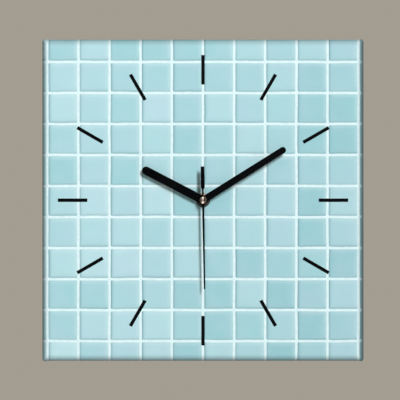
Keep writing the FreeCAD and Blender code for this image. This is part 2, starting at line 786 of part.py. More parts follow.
def make_knob():
    """Ridged knob behind the cover, with the shaft that carries the setting pinion."""
    disc = round_bar("knob_disc", "dims.knob_radius", "dims.knob_front",
                     "dims.knob_front + dims.knob_thick", *KNOB)
    shaft = round_bar("knob_stem", "dims.knob_shaft", f"{CHAMBER_FRONT} - 0.5",
                      "dims.knob_front", *KNOB)
    reach = "(dims.knob_radius + dims.groove_offset)"
    grooves = []
    for number in range(round(sheet.knob_ridges)):
        angle = f"{number} * 360 deg / dims.knob_ridges"
        grooves.append(round_bar(f"knob_groove_{number}", "dims.groove_radius",
                                 "dims.knob_front - 0.2", "dims.knob_front + dims.knob_thick + 0.2",
                                 f"{KNOB[0]} + {reach} * cos({angle})",
                                 f"{KNOB[1]} + {reach} * sin({angle})"))
    node(cut("knob", fused("knob_solid", [disc, shaft]), *grooves), "setting_knob")


def make_centre_wheel():
    """Wheel that turns once an hour, with the clutch spring that presses it to the pipe."""
    bore = "dims.minute_pipe_outer + dims.pivot_gap"
    start, end = layer("dims.centre_layer", "dims.thin_wheel")
    phase = meshing_phase(0, "dims.third_pinion_teeth", THIRD, "dims.centre_teeth", CENTRE)
    wheel = gear("centre_teeth_solid", "dims.centre_teeth", "dims.centre_module", phase, start, end)
    hole = round_bar("centre_bore", bore, f"{start} - 1", f"{end} + 1")
    node(cut("centre", wheel, hole), "centre_wheel")
    node(ring("clutch", "dims.clutch_outer", bore, end, f"{end} + dims.clutch_thick"),
         "clutch_spring")


def make_third_wheel():
    start, end = layer("dims.third_layer", "dims.thin_wheel")
    pinion = gear("third_pinion_solid", "dims.third_pinion_teeth", "dims.centre_module", 0,
                  "dims.centre_layer - dims.pinion_step", start, THIRD)
    phase = meshing_phase(0, "dims.seconds_pinion_teeth", CENTRE, "dims.third_teeth", THIRD)
    wheel = gear("third_teeth_solid", "dims.third_teeth", "dims.third_module", phase,
                 start, end, THIRD)
    arbor = round_bar("third_arbor", "dims.pivot_radius", f"{CHAMBER_FRONT} - 0.5",
                      "dims.plate_layer + 0.6", *THIRD)
    node(fused("third", [pinion, wheel, arbor]), "third_wheel")


def make_seconds_wheel():
    """Seconds wheel and pinion in one moulding on a steel arbor."""
    start, end = layer("dims.seconds_layer", "dims.thin_wheel")
    wheel = gear("seconds_teeth_solid", "dims.seconds_teeth", "dims.seconds_module", 0, start, end)
    pinion_start, pinion_end = layer("dims.third_layer - dims.pinion_step", "dims.pinion_thick")
    pinion = gear("seconds_pinion_solid", "dims.seconds_pinion_teeth", "dims.third_module", 0,
                  pinion_start, pinion_end)
    neck = round_bar("seconds_neck", "dims.seconds_neck", pinion_start, end)
    hole = round_bar("seconds_bore", "dims.seconds_arbor", f"{pinion_start} - 1", f"{end} + 1")
    node(cut("seconds", fused("seconds_solid", [wheel, pinion, neck]), hole), "seconds_wheel")
    arbor = round_bar("seconds_pin", "dims.seconds_arbor", "dims.seconds_arbor_front",
                      "dims.seconds_arbor_back")
    node(arbor, "seconds_arbor")


def make_intermediate_wheel():
    start, end = layer("dims.inter_layer", "dims.thin_wheel")
    phase = meshing_phase(0, "dims.seconds_teeth", CENTRE, "dims.inter_pinion_teeth", INTER)
    pinion = gear("inter_pinion_solid", "dims.inter_pinion_teeth", "dims.seconds_module", phase,
                  "dims.seconds_layer - dims.pinion_step", start, INTER)
    wheel = gear("inter_teeth_solid", "dims.inter_teeth", "dims.rotor_module", 0, start, end, INTER)
    arbor = round_bar("inter_arbor", "dims.pivot_radius", "dims.plate_layer + 0.2",
                      "dims.inter_arbor_back", *INTER)
    node(fused("inter", [pinion, wheel, arbor]), "intermediate_wheel")


def make_rotor():
    """Rotor: a pinion with its arbor, and a ring magnet pressed on it."""
    phase = meshing_phase(0, "dims.inter_teeth", INTER, "dims.rotor_teeth", ROTOR)
    start, end = layer("dims.inter_layer - dims.pinion_step", "dims.pinion_thick")
    pinion = gear("rotor_teeth_solid", "dims.rotor_teeth", "dims.rotor_module", phase,
                  start, end, ROTOR)
    arbor = round_bar("rotor_arbor", "dims.pivot_radius", "dims.plate_layer + 0.2",
                      "dims.rotor_arbor_back", *ROTOR)
    node(fused("rotor", [pinion, arbor]), "rotor_pinion")
    magnet = ring("magnet", "dims.magnet_radius", "dims.pivot_radius", "dims.magnet_front",
                  "dims.magnet_front + dims.magnet_thick", *ROTOR)
    node(magnet, "rotor_magnet")


# ---------------------------------------------------------------- stepping motor and circuit

STATOR_BACK = "(dims.stator_front + dims.stator_thick)"
CORE_BACK = "(dims.stator_front + 2 * dims.stator_thick)"
RIVET_X = "(dims.stator_half - dims.stator_leg / 2)"


def make_stator():
    """Yoke round the rotor with two legs that reach the coil core."""
    half, inner = "dims.stator_half", "(dims.stator_half - dims.stator_leg)"
    stator = body("yoke", STATOR_BACK)
    drawing = sketch(stator, "yoke_outline")
    bottom, shoulder, top = "dims.stator_bottom", "dims.stator_shoulder", "dims.stator_top"
    draw_polygon(drawing, [(f"-{half}", bottom), (half, bottom), (half, top), (inner, top),
                           (inner, shoulder), (f"-{inner}", shoulder), (f"-{inner}", top),
                           (f"-{half}", top)])
    pad(stator, drawing, "dims.stator_thick")
    bore_through(stator, [(*ROTOR, "dims.stator_hole"),
                          (RIVET_X, "dims.coil_level", "dims.rivet_radius"),
                          (f"-{RIVET_X}", "dims.coil_level", "dims.rivet_radius")])
    node(stator, "stator")


def make_coil():
    """Core bar, bobbin and copper winding, riveted to the stator."""
    half, level = "dims.stator_half", "dims.coil_level"
    tall = (f"{level} - dims.core_height / 2", f"{level} + dims.core_height / 2")
    bar = block("core_bar", (f"-{half}", half), (STATOR_BACK, CORE_BACK), tall)
    holes = [round_bar(f"core_hole_{index}", "dims.rivet_radius", f"{STATOR_BACK} - 1",
                       f"{CORE_BACK} + 1", x, level)
             for index, x in enumerate((RIVET_X, f"-{RIVET_X}"))]
    node(cut("core", bar, *holes), "coil_core")

    rivets = []
    for index, x in enumerate((RIVET_X, f"-{RIVET_X}")):
        shank = round_bar(f"rivet_shank_{index}", "dims.rivet_radius", "dims.stator_front",
                          CORE_BACK, x, level)
        head = round_bar(f"rivet_head_{index}", "dims.rivet_head", CORE_BACK,
                         f"{CORE_BACK} + dims.rivet_head_thick", x, level)
        rivets.append(fused(f"rivet_{index}", [shank, head]))
    node(group("rivets", rivets), "core_rivets")

    depth = f"({STATOR_BACK} + dims.stator_thick / 2)"
    end, lip = "dims.bobbin_half", "(dims.bobbin_half - dims.bobbin_flange)"
    tube = cross_bar("bobbin_tube_solid", "dims.bobbin_tube", f"-{end}", end, depth, level)
    flanges = [cross_bar("flange_left", "dims.flange_outer", f"-{end}", f"-{lip}", depth, level),
               cross_bar("flange_right", "dims.flange_outer", lip, end, depth, level)]
    slot = block("bobbin_slot", (f"-{end} - 1", f"{end} + 1"), (STATOR_BACK, CORE_BACK), tall)
    node(cut("bobbin", fused("bobbin_solid", [tube] + flanges), slot), "coil_bobbin")

    copper = cross_bar("winding_solid", "dims.winding_outer", f"-{lip}", lip, depth, level)
    inside = cross_bar("winding_hole", "dims.bobbin_tube", f"-{end}", end, depth, level)
    node(cut("winding", copper, inside), "coil_winding")


def make_circuit():
    """Small board with the clock chip under its blob and the tuning-fork crystal can."""
    back = "(dims.circuit_front + dims.circuit_thick)"
    board = block("circuit", ("dims.circuit_left", "dims.circuit_right"),
                  ("dims.circuit_front", back), ("dims.circuit_bottom", "dims.circuit_top"))
    node(board, "circuit_board")
    blob = doc.addObject("Part::Cone", "blob")
    blob.Placement.Rotation = ALONG_Y
    bind(blob, Radius1="dims.chip_radius * 0.6", Radius2="dims.chip_radius",
         Height="dims.chip_height", at_x="dims.circuit_left + dims.chip_inset",
         at_y="dims.circuit_front - dims.chip_height", at_z="0")
    node(blob, "clock_chip")
    can = doc.addObject("Part::Cylinder", "crystal")
    bind(can, Radius="dims.crystal_radius", Height="dims.crystal_length",
         at_x="dims.circuit_right - dims.crystal_inset",
         at_y="dims.circuit_front - dims.crystal_radius", at_z="dims.crystal_bottom")
    node(can, "quartz_crystal")


def make_contacts():
    """Sprung end plates of the battery bay, each with a tongue up to the circuit board."""
    inside = "(dims.cell_half + dims.contact_gap)"
    outside = f"({inside} + dims.contact_thick)"
    tongue = ("dims.circuit_front - dims.contact_thick", "dims.circuit_front")
    plate_depth = ("dims.contact_front", "dims.circuit_front")
    riser_depth = ("dims.riser_front", "dims.circuit_front")
    plate_tall = ("dims.contact_bottom", "dims.bay_top - dims.contact_thick")
    riser_tall = ("dims.bay_top - 1", "dims.riser_top")

    right = (inside, outside)
    plus = [block("plus_plate", right, plate_depth, plate_tall),
            block("plus_riser", right, riser_depth, riser_tall),
            block("plus_tongue", ("dims.circuit_right - dims.tongue_reach", outside), tongue,
                  ("dims.tongue_low", "dims.tongue_high"))]
    node(fused("plus", plus), "contact_positive")

    left = (f"-{outside}", f"-{inside}")
    minus = [block("minus_plate", left, plate_depth, plate_tall),
             block("minus_riser", left, riser_depth, riser_tall),
             block("minus_rail", (f"-{outside}", "dims.circuit_left + dims.rail_reach"), tongue,
                   ("dims.rail_low", "dims.rail_high"))]
    node(fused("minus", minus), "contact_negative")


def make_cell():
    """AA cell lying along X: steel can with its nub, sleeve, seal and negative cap."""
    depth, level = "dims.cell_depth", "dims.cell_level"
    core = "(dims.cell_radius - dims.sleeve_thick)"
    left, right = "-dims.cell_half", "(dims.cell_half - dims.nub_length)"
    cap_end = f"{left} + dims.cap_thick"
    can = fused("can", [
        cross_bar("can_body", core, cap_end, right, depth, level),
        cross_bar("can_nub", "dims.nub_radius", right, "dims.cell_half", depth, level)])
    node(can, "cell_can")
    outer = cross_bar("sleeve_solid", "dims.cell_radius", f"{left} + dims.sleeve_recess", right,
                      depth, level)
    inner = cross_bar("sleeve_hole", core, f"{left} - 1", f"{right} + 1", depth, level)
    node(cut("cell_wrap", outer, inner), "cell_sleeve")
    seal = cross_bar("seal_disc", core, f"{left} + dims.seal_recess", cap_end, depth, level)
    pocket = cross_bar("seal_hole", "dims.cap_radius", left, f"{cap_end} + 1", depth, level)
    node(cut("seal", seal, pocket), "cell_seal")
    node(cross_bar("cap", "dims.cap_radius", left, cap_end, depth, level), "cell_negative_cap")


# ---------------------------------------------------------------- hands

def upright_hand(label, front, thick, outlines, discs, bore, angle):
    """Flat hand drawn at twelve o'clock and then turned clockwise, seen from the front."""
    hand = body(label, f"{front} + {thick}")
    for index, corners in enumerate(outlines):
        drawing = sketch(hand, f"{label}_outline_{index}")
        draw_polygon(drawing, corners)
        pad(hand, drawing, thick)
    for index, (z, radius) in enumerate(discs):
        drawing = sketch(hand, f"{label}_disc_{index}")
        draw_circle(drawing, "0", z, radius)
        pad(hand, drawing, thick)
    bore_through(hand, [(*CENTRE, bore)])
    hand.Placement.Rotation = FreeCAD.Rotation(FreeCAD.Vector(0, 1, 0), 1)
    bind(hand, turn=f"{angle} * 1 deg")
    return node(hand, label)


def blade(root, tip, start, end):
    """Tapered outline that is symmetric about the twelve o'clock line."""
    return [(f"-{root} / 2", start), (f"{root} / 2", start), (f"{tip} / 2", end),
            (f"-{tip} / 2", end)]


def make_hands():
    width, tip_line = "dims.hour_hand_width", "dims.hour_hand_reach - dims.hour_hand_width / 2"
    upright_hand("hour_hand", "dims.hour_hand_front", "dims.hand_thick",
                 [blade(width, width, "0", tip_line)],
                 [(tip_line, f"{width} / 2"), ("0", "dims.hub_radius")],
                 "dims.hour_pipe_outer", "dims.hour_hand_angle")

    root, tip = "dims.minute_hand_root", "dims.minute_hand_tip"
    tip_line = "dims.minute_hand_reach - dims.minute_hand_tip / 2"
    upright_hand("minute_hand", "dims.minute_hand_front", "dims.hand_thick",
                 [blade(root, tip, "0", tip_line)],
                 [(tip_line, f"{tip} / 2"), ("0", "dims.hub_radius")],
                 "dims.minute_pipe_outer", "dims.minute_hand_angle")

    root, tip = "dims.second_hand_root", "dims.second_hand_tip"
    tip_line = "dims.second_hand_reach - dims.second_hand_tip / 2"
    neck, neck_end = "dims.tail_neck_width / 2", "-dims.tail_neck_end"
    wide, narrow = "dims.tail_wide / 2", "dims.tail_narrow / 2"
    tail = [(neck, "0"), (neck, neck_end), (wide, "-dims.tail_shoulder"),
            (narrow, "-dims.tail_reach"), (f"-{narrow}", "-dims.tail_reach"),
            (f"-{wide}", "-dims.tail_shoulder"), (f"-{neck}", neck_end), (f"-{neck}", "0")]
    upright_hand("second_hand", "dims.second_hand_front", "dims.second_hand_thick",
                 [blade(root, tip, "0", tip_line), tail],
                 [(tip_line, f"{tip} / 2"), ("0", "dims.second_hub")],
                 "dims.sleeve_radius", "dims.second_hand_angle")


def make_second_hand_bush():
    """Turned brass bush: a button on the front of the second hand and a sleeve on the arbor."""
    button = round_bar("button_disc", "dims.button_radius", "dims.button_front",
                       "dims.second_hand_front")
    sleeve = round_bar("bush_sleeve", "dims.sleeve_radius", "dims.second_hand_front",
                       "dims.sleeve_back")
    hole = round_bar("bush_sleeve_hole", "dims.seconds_arbor", "dims.seconds_arbor_front",
                     "dims.sleeve_back + 1")
    node(cut("button", fused("button_solid", [button, sleeve]), hole), "second_hand_bush")


# ---------------------------------------------------------------- build, check and write

def main():
    make_canvas()
    make_hour_marks()
    make_board()
    make_bars()
    make_staples()
    make_v_nails()
    make_front_case()
    make_rear_case()
    make_middle_plate()
    make_clamping_hardware()
    make_motion_train()
    make_knob()
    make_centre_wheel()
    make_third_wheel()
    make_seconds_wheel()
    make_intermediate_wheel()
    make_rotor()
    make_stator()
    make_coil()
    make_circuit()
    make_contacts()
    make_cell()
    make_hands()
    make_second_hand_bush()
    doc.recompute()
    for thing in doc.Objects:
        if "Invalid" in thing.State or "Error" in thing.State:
            raise RuntimeError(f"{thing.Name} failed: {thing.State}")
    for piece in NODES:
        if piece.Shape.isNull() or not piece.Shape.isValid():
            raise RuntimeError(f"{piece.Label} has no valid shape")
    os.makedirs("parts", exist_ok=True)
    for piece in NODES:
        piece.Shape.exportStep(f"parts/{piece.Label}.step")


main()
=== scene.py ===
import math
import random

import bmesh
import bpy
from mathutils import Matrix, Vector


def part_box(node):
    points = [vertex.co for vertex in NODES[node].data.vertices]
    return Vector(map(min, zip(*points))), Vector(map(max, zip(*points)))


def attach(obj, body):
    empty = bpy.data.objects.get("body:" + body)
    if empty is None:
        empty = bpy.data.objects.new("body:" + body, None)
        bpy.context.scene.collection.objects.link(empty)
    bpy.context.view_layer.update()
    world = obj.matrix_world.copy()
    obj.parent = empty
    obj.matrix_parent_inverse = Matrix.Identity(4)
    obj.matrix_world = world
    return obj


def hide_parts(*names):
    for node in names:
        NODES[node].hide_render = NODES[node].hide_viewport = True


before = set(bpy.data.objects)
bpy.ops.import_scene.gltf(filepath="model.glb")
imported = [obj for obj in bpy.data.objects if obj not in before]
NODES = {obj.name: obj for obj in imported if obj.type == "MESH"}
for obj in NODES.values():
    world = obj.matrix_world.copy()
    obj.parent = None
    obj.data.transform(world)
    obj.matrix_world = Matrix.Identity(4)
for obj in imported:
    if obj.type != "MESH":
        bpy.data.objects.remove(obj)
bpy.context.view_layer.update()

# Looks of a square canvas-print wall clock. Lengths are in metres, and MM turns the
# millimetres written here into metres. X is right, Z is up and the face looks along -Y.

MM = 0.001
ROOT = "clock_body"


def box(node):
    """Lowest and highest corner of a CAD node, as vectors."""
    low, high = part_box(node)
    return Vector(low), Vector(high)


FACE_LOW, FACE_HIGH = box("canvas_print")
HALF = (FACE_HIGH.x - FACE_LOW.x) / 2
FRONT = FACE_LOW.y
WALL = FACE_HIGH.y


# ---------------------------------------------------------------- shader graphs

class Graph:
    """One material's node tree, with short calls for the nodes that the materials share."""

    def __init__(self, name):
        self.material = bpy.data.materials.new(name)
        self.material.use_nodes = True
        self.tree = self.material.node_tree
        self.shader = self.tree.nodes["Principled BSDF"]

    def node(self, kind, **settings):
        made = self.tree.nodes.new(kind)
        for key, setting in settings.items():
            setattr(made, key, setting)
        return made

    def feed(self, socket, value):
        if isinstance(value, bpy.types.NodeSocket):
            self.tree.links.new(value, socket)
        elif value is not None:
            socket.default_value = value

    def constant(self, **values):
        """Set plain numbers and colours on the shader's own sockets."""
        for name, value in values.items():
            self.shader.inputs[name.replace("_", " ")].default_value = value

    def drive(self, name, value):
        self.feed(self.shader.inputs[name], value)

    def object_place(self):
        return self.node("ShaderNodeTexCoord").outputs["Object"]

    def cloth_place(self, layer):
        return self.node("ShaderNodeUVMap", uv_map=layer).outputs["UV"]

    def split(self, vector):
        made = self.node("ShaderNodeSeparateXYZ")
        self.feed(made.inputs[0], vector)
        return made.outputs

    def join(self, x, y, z=0.0):
        made = self.node("ShaderNodeCombineXYZ")
        for socket, value in zip(made.inputs, (x, y, z)):
            self.feed(socket, value)
        return made.outputs[0]

    def math(self, operation, first, second=None, third=None, clamp=False):
        made = self.node("ShaderNodeMath", operation=operation, use_clamp=clamp)
        for socket, value in zip(made.inputs, (first, second, third)):
            self.feed(socket, value)
        return made.outputs[0]

    def scale(self, vector, factors):
        made = self.node("ShaderNodeVectorMath", operation="MULTIPLY")
        self.feed(made.inputs[0], vector)
        made.inputs[1].default_value = factors
        return made.outputs[0]

    def noise(self, place, scale, detail=2.0, roughness=0.5, distortion=0.0):
        made = self.node("ShaderNodeTexNoise")
        self.feed(made.inputs["Vector"], place)
        made.inputs["Scale"].default_value = scale
        made.inputs["Detail"].default_value = detail
        made.inputs["Roughness"].default_value = roughness
        made.inputs["Distortion"].default_value = distortion
        return made.outputs["Fac"]

    def hashed(self, place):
        """Three even random numbers that depend only on the place."""
        made = self.node("ShaderNodeTexWhiteNoise", noise_dimensions="3D")
        self.feed(made.inputs["Vector"], place)
        return self.split(made.outputs["Color"])

    def remap(self, value, low, high, to_low=0.0, to_high=1.0, smooth=False):
        made = self.node("ShaderNodeMapRange",
                         interpolation_type="SMOOTHSTEP" if smooth else "LINEAR")
        for socket, setting in zip(made.inputs, (value, low, high, to_low, to_high)):
            self.feed(socket, setting)
        return made.outputs[0]

    def mix(self, share, first, second):
        made = self.node("ShaderNodeMix", data_type="RGBA")
        self.feed(made.inputs["Factor"], share)
        for name, value in (("A", first), ("B", second)):
            socket = [s for s in made.inputs if s.name == name and s.type == "RGBA"][0]
            if isinstance(value, tuple):
                value = (*value[:3], 1.0)
            self.feed(socket, value)
        return [s for s in made.outputs if s.type == "RGBA"][0]

    def bump(self, height, strength, distance):
        made = self.node("ShaderNodeBump")
        made.inputs["Strength"].default_value = strength
        made.inputs["Distance"].default_value = distance
        self.feed(made.inputs["Height"], height)
        self.drive("Normal", made.outputs["Normal"])


# ---------------------------------------------------------------- printed canvas

CLOTH = "cloth"
TILE_PITCH = 28.9 * MM
TILE_SPREAD = 1.004
PITCH_ACROSS = TILE_PITCH * TILE_SPREAD
GROUT_WANDER = 1.3 * MM
GROUT_HALF = 1.12 * MM
TILE_CORNER = 1.0 * MM
ROW_START = 13.3 * MM
THREAD = 0.62 * MM
TILE_PALE = (0.487, 0.748, 0.790)
TILE_DEEP = (0.285, 0.590, 0.630)
TILE_LILAC = (0.470, 0.640, 0.760)
TILE_SHADE = (0.135, 0.320, 0.380)
TILE_HAZE = (0.660, 0.850, 0.890)
GROUT = (0.760, 0.920, 0.955)
GROUT_DIM = (0.650, 0.850, 0.890)
RAW_CANVAS = (0.80, 0.77, 0.70)
RAW_CANVAS_DIM = (0.70, 0.66, 0.58)
# dark colour painted on the sides as shade
EDGE_SHADE_COLOUR = (0.035, 0.065, 0.07)
NO_LIGHT = (0.0, 0.0, 0.0)
BLACK = (0.0006, 0.0009, 0.0016)
BLACK_RUBBED = (0.004, 0.0045, 0.006)
BARE_START = 7 * MM
# painted shade on the sides: axis and way that a side faces, where its painted shade starts and
# ends in millimetres past the flat, and how dark it is
EDGE_PAINTED_SHADES = (("x", 1.0, -1.6, 2.6, 0.90), ("x", -1.0, -1.2, 3.0, 0.62),
               ("z", -1.0, -2.0, 6.0, 0.85), ("z", 1.0, -2.0, 5.0, 0.62))


def weave_height(g, place):
    """Plain weave: warp and weft threads that take turns on top."""
    x, y, _ = g.split(g.scale(place, (1 / THREAD, 1 / THREAD, 1)))
    across = g.math("ABSOLUTE", g.math("SINE", g.math("MULTIPLY", x, math.pi)))
    along = g.math("ABSOLUTE", g.math("SINE", g.math("MULTIPLY", y, math.pi)))
    turn = g.math("MODULO", g.math("ADD", g.math("FLOOR", x), g.math("FLOOR", y)), 2.0)
    over = g.math("ABSOLUTE", turn)
    top = g.math("MULTIPLY", over, across)
    other = g.math("MULTIPLY", g.math("SUBTRACT", 1.0, over), along)
    slubs = g.noise(place, 900.0, 2.0)
    return g.math("ADD", g.math("ADD", top, other), g.math("MULTIPLY", slubs, 0.35))


def edge_fade(g, distance, reach):
    """1 at a tile's edge, falling away over a reach."""
    return g.math("EXPONENT", g.math("MULTIPLY", distance, -1.0 / reach))


def tile_print(g, place):
    """Picture of pressed glass tiles in white grout, in cloth coordinates."""
    x, z, _ = g.split(place)
    wander_x = g.math("SUBTRACT", g.noise(place, 26.0, 2.0), 0.5)
    wander_z = g.math("SUBTRACT", g.noise(place, 31.0, 2.0, distortion=0.4), 0.5)
    across = g.math("DIVIDE", g.math("MULTIPLY_ADD", wander_x, GROUT_WANDER, x), PITCH_ACROSS)
    shifted = g.math("SUBTRACT", g.math("MULTIPLY_ADD", wander_z, GROUT_WANDER, z), ROW_START)
    up = g.math("DIVIDE", shifted, TILE_PITCH)
    column, row = g.math("FLOOR", across), g.math("FLOOR", up)
    part_x = g.math("MULTIPLY", g.math("SUBTRACT", across, column), TILE_PITCH)
    part_z = g.math("MULTIPLY", g.math("SUBTRACT", up, row), TILE_PITCH)
    left = g.math("SUBTRACT", part_x, GROUT_HALF)
    right = g.math("SUBTRACT", TILE_PITCH - GROUT_HALF, part_x)
    bottom = g.math("SUBTRACT", part_z, GROUT_HALF)
    top = g.math("SUBTRACT", TILE_PITCH - GROUT_HALF, part_z)

    near_x = g.math("MINIMUM", left, right)
    near_z = g.math("MINIMUM", bottom, top)
    in_x = g.math("MAXIMUM", g.math("SUBTRACT", TILE_CORNER, near_x), 0.0)
    in_z = g.math("MAXIMUM", g.math("SUBTRACT", TILE_CORNER, near_z), 0.0)
    reach = g.math("SQRT", g.math("ADD", g.math("MULTIPLY", in_x, in_x),
                                  g.math("MULTIPLY", in_z, in_z)))
    inside = g.remap(reach, TILE_CORNER - 0.35 * MM, TILE_CORNER + 0.25 * MM, 1.0, 0.0, smooth=True)

    luck, tint, edge_luck = g.hashed(g.join(column, row, 3.0))
    lean = g.hashed(g.join(row, column, 8.0))
    clouds = g.noise(place, 55.0, 3.0, 0.55)
    cool = g.math("ADD", g.math("MULTIPLY", luck, 0.90), g.math("MULTIPLY", clouds, 0.26))
    # painted light and shade: the tiles turn paler toward the left and deeper toward the right
    painted_light_slope = g.remap(x, -HALF, HALF, -0.18, 0.14)
    share = g.math("ADD", cool, painted_light_slope, clamp=True)
    colour = g.mix(share, TILE_PALE, TILE_DEEP)
    drift = g.remap(g.noise(place, 38.0, 2.0), 0.35, 0.7, 0.0, 0.30)
    lilac = g.math("ADD", g.math("MULTIPLY", tint, 0.22), drift)
    colour = g.mix(lilac, colour, TILE_LILAC)

    cushion = g.remap(g.math("MINIMUM", near_x, near_z), 1.6 * MM, 4.2 * MM, 0.14, 0.0, smooth=True)
    colour = g.mix(cushion, colour, TILE_HAZE)
    haze = g.math("ADD", edge_fade(g, right, 2.6 * MM), edge_fade(g, top, 1.8 * MM))
    haze = g.math("MULTIPLY", haze, g.math("MULTIPLY_ADD", lean[0], 0.22, 0.10), clamp=True)
    colour = g.mix(haze, colour, TILE_HAZE)
    left_dark = g.math("MULTIPLY", edge_fade(g, left, 1.2 * MM),
                       g.math("MULTIPLY_ADD", edge_luck, 0.65, 0.75))
    low_dark = g.math("MULTIPLY", edge_fade(g, bottom, 1.25 * MM),
                      g.math("MULTIPLY_ADD", lean[1], 0.55, 0.46))
    dark = g.math("MAXIMUM", left_dark, low_dark, clamp=True)
    colour = g.mix(dark, colour, TILE_SHADE)

    # painted shade: toward the right the tiles are mixed a little toward the shade colour
    colour = g.mix(g.remap(x, -HALF, HALF, 0.0, 0.10), colour, TILE_SHADE)
    grout = g.mix(g.remap(g.noise(place, 240.0, 3.0), 0.35, 0.7), GROUT, GROUT_DIM)
    printed = g.mix(inside, grout, colour)
    # painted shade: the picture is made a little darker toward its right and its top
    painted_shade_slope = g.math("ADD", g.remap(x, -HALF, HALF, 0.0, 0.11), g.remap(z, -HALF, HALF, 0.0, 0.045))
    return g.mix(painted_shade_slope, printed, NO_LIGHT)


def canvas_material():
    g = Graph("printed_canvas")
    place = g.cloth_place(CLOTH)
    picture = tile_print(g, place)
    x, z, _ = g.split(place)
    # painted shade: past the front's flat part the print is darkened, most on the right and below
    flat = HALF - EDGE_ROUND
    shade = 0.0
    for toward, way, start, end, most in EDGE_PAINTED_SHADES:
        past = g.math("MULTIPLY_ADD", x if toward == "x" else z, way, -flat)
        shade = g.math("MAXIMUM", shade, g.remap(past, start * MM, end * MM, 0.0, most))
    picture = g.mix(shade, picture, EDGE_SHADE_COLOUR)
    # on the hem the ink stops and the bare cloth shows
    far = g.math("MAXIMUM", g.math("ABSOLUTE", x), g.math("ABSOLUTE", z))
    ragged = g.math("MULTIPLY_ADD", g.noise(place, 120.0, 3.0), 1.5 * MM, far)
    bare_from = flat + CLOTH_TO_HEM + BARE_START
    bare = g.remap(ragged, bare_from, bare_from + 0.5 * MM, 0.0, 1.0)
    fibre = g.mix(g.noise(place, 700.0, 4.0), RAW_CANVAS, RAW_CANVAS_DIM)
    height = weave_height(g, place)
    g.drive("Base Color", g.mix(bare, picture, fibre))
    g.drive("Roughness", g.remap(g.noise(place, 300.0, 2.0), 0.2, 0.8, 0.50, 0.66))
    g.constant(Specular_IOR_Level=0.28, Sheen_Weight=0.06, Sheen_Roughness=0.5)
    g.bump(height, 0.22, 0.06 * MM)
    return g.material


def ink_material():
    g = Graph("black_ink")
    place = g.object_place()
    across, _, up = g.split(place)
    worn = g.remap(g.noise(place, 1500.0, 3.0), 0.45, 0.75, 0.0, 0.5)
    g.drive("Base Color", g.mix(worn, BLACK, BLACK_RUBBED))
    g.drive("Roughness", g.remap(g.noise(place, 400.0, 2.0), 0.2, 0.8, 0.6, 0.75))
    g.constant(Specular_IOR_Level=0.05)
    g.bump(weave_height(g, g.join(across, up)), 0.3, 0.05 * MM)
    return g.material


# ---------------------------------------------------------------- wood, plastic and metal

def pine_material(axis):
    """Planed pine whose grain runs along X or Z."""
    g = Graph("pine_along_" + axis)
    stretch = {"x": (0.045, 1.0, 1.0), "z": (1.0, 1.0, 0.045)}[axis]
    place = g.scale(g.object_place(), stretch)
    rings = g.noise(place, 95.0, 3.0, 0.55, 0.6)
    bands = g.math("SINE", g.math("MULTIPLY", rings, 46.0))
    late = g.remap(bands, 0.1, 1.0, 0.0, 0.62, smooth=True)
    fibres = g.noise(place, 1700.0, 3.0, 0.6)
    colour = g.mix(late, (0.70, 0.50, 0.28), (0.47, 0.26, 0.11))
    colour = g.mix(g.remap(fibres, 0.3, 0.7, 0.0, 0.3), colour, (0.80, 0.64, 0.42))
    patches = g.noise(g.object_place(), 14.0, 2.0)
    colour = g.mix(g.remap(patches, 0.3, 0.75, 0.0, 0.25), colour, (0.60, 0.42, 0.24))
    g.drive("Base Color", colour)
    g.drive("Roughness", g.remap(fibres, 0.2, 0.8, 0.55, 0.78))
    g.constant(Specular_IOR_Level=0.25)
    g.bump(g.math("ADD", g.math("MULTIPLY", late, -0.4), fibres), 0.35, 0.12 * MM)
    return g.material


def hardboard_material():
    g = Graph("hardboard")
    place = g.object_place()
    x, _, z = g.split(g.scale(place, (1 / (1.5 * MM), 1, 1 / (1.5 * MM))))
    mesh = g.math("MULTIPLY", g.math("SINE", g.math("MULTIPLY", x, math.pi)),
                  g.math("SINE", g.math("MULTIPLY", z, math.pi)))
    strands = g.noise(g.scale(place, (1, 1, 2.2)), 650.0, 4.0, 0.65, 1.2)
    stains = g.noise(place, 9.0, 3.0)
    colour = g.mix(g.remap(strands, 0.3, 0.7), (0.20, 0.115, 0.06), (0.36, 0.235, 0.135))
    colour = g.mix(g.remap(stains, 0.35, 0.7, 0.0, 0.4), colour, (0.27, 0.165, 0.09))
    g.drive("Base Color", colour)
    g.drive("Roughness", g.remap(strands, 0.2, 0.8, 0.6, 0.85))
    g.bump(g.math("ADD", g.math("MULTIPLY", mesh, 0.5), strands), 0.5, 0.18 * MM)
    return g.material


def moulded_material(name, colour, worn, roughness, grain=0.35):
    """Moulded plastic with a spark-eroded grain and a little rubbed shine."""
    g = Graph(name)
    place = g.object_place()
    grains = g.noise(place, 2600.0, 3.0, 0.6)
    rubbed = g.remap(g.noise(place, 42.0, 4.0, 0.6), 0.5, 0.75, 0.0, 1.0, smooth=True)
    g.drive("Base Color", g.mix(g.math("MULTIPLY", rubbed, 0.5), colour, worn))
    g.drive("Roughness", g.math("MULTIPLY_ADD", rubbed, -0.12,
                                g.remap(grains, 0.2, 0.8, roughness - 0.05, roughness + 0.08)))
    g.constant(Specular_IOR_Level=0.45)
    g.bump(grains, grain, 0.05 * MM)
    return g.material


def metal_material(name, colour, dull, roughness):
    """Metal with a fine grain; the dull colour gathers in patches."""
    g = Graph(name)
    place = g.object_place()
    lines = g.noise(place, 2400.0, 3.0, 0.6)
    patches = g.noise(place, 320.0, 3.0, 0.6)
    g.drive("Base Color", g.mix(g.remap(patches, 0.4, 0.8, 0.0, 0.65), colour, dull))
    g.drive("Roughness", g.remap(lines, 0.25, 0.75, roughness - 0.06, roughness + 0.14))
    g.constant(Metallic=1.0)
    g.bump(lines, 0.12, 0.02 * MM)
    return g.material


# turn of the brushed shine on turned brass, as a share of a full circle
SWIRL = 0.151
CUT_PITCH = 0.16 * MM
# painted shade colours: dark brown on the brass rims and near black on the lower side
BRASS_RIM_SHADE = (0.17, 0.10, 0.05)
BRASS_PAINTED_SHADE = (0.030, 0.034, 0.030)


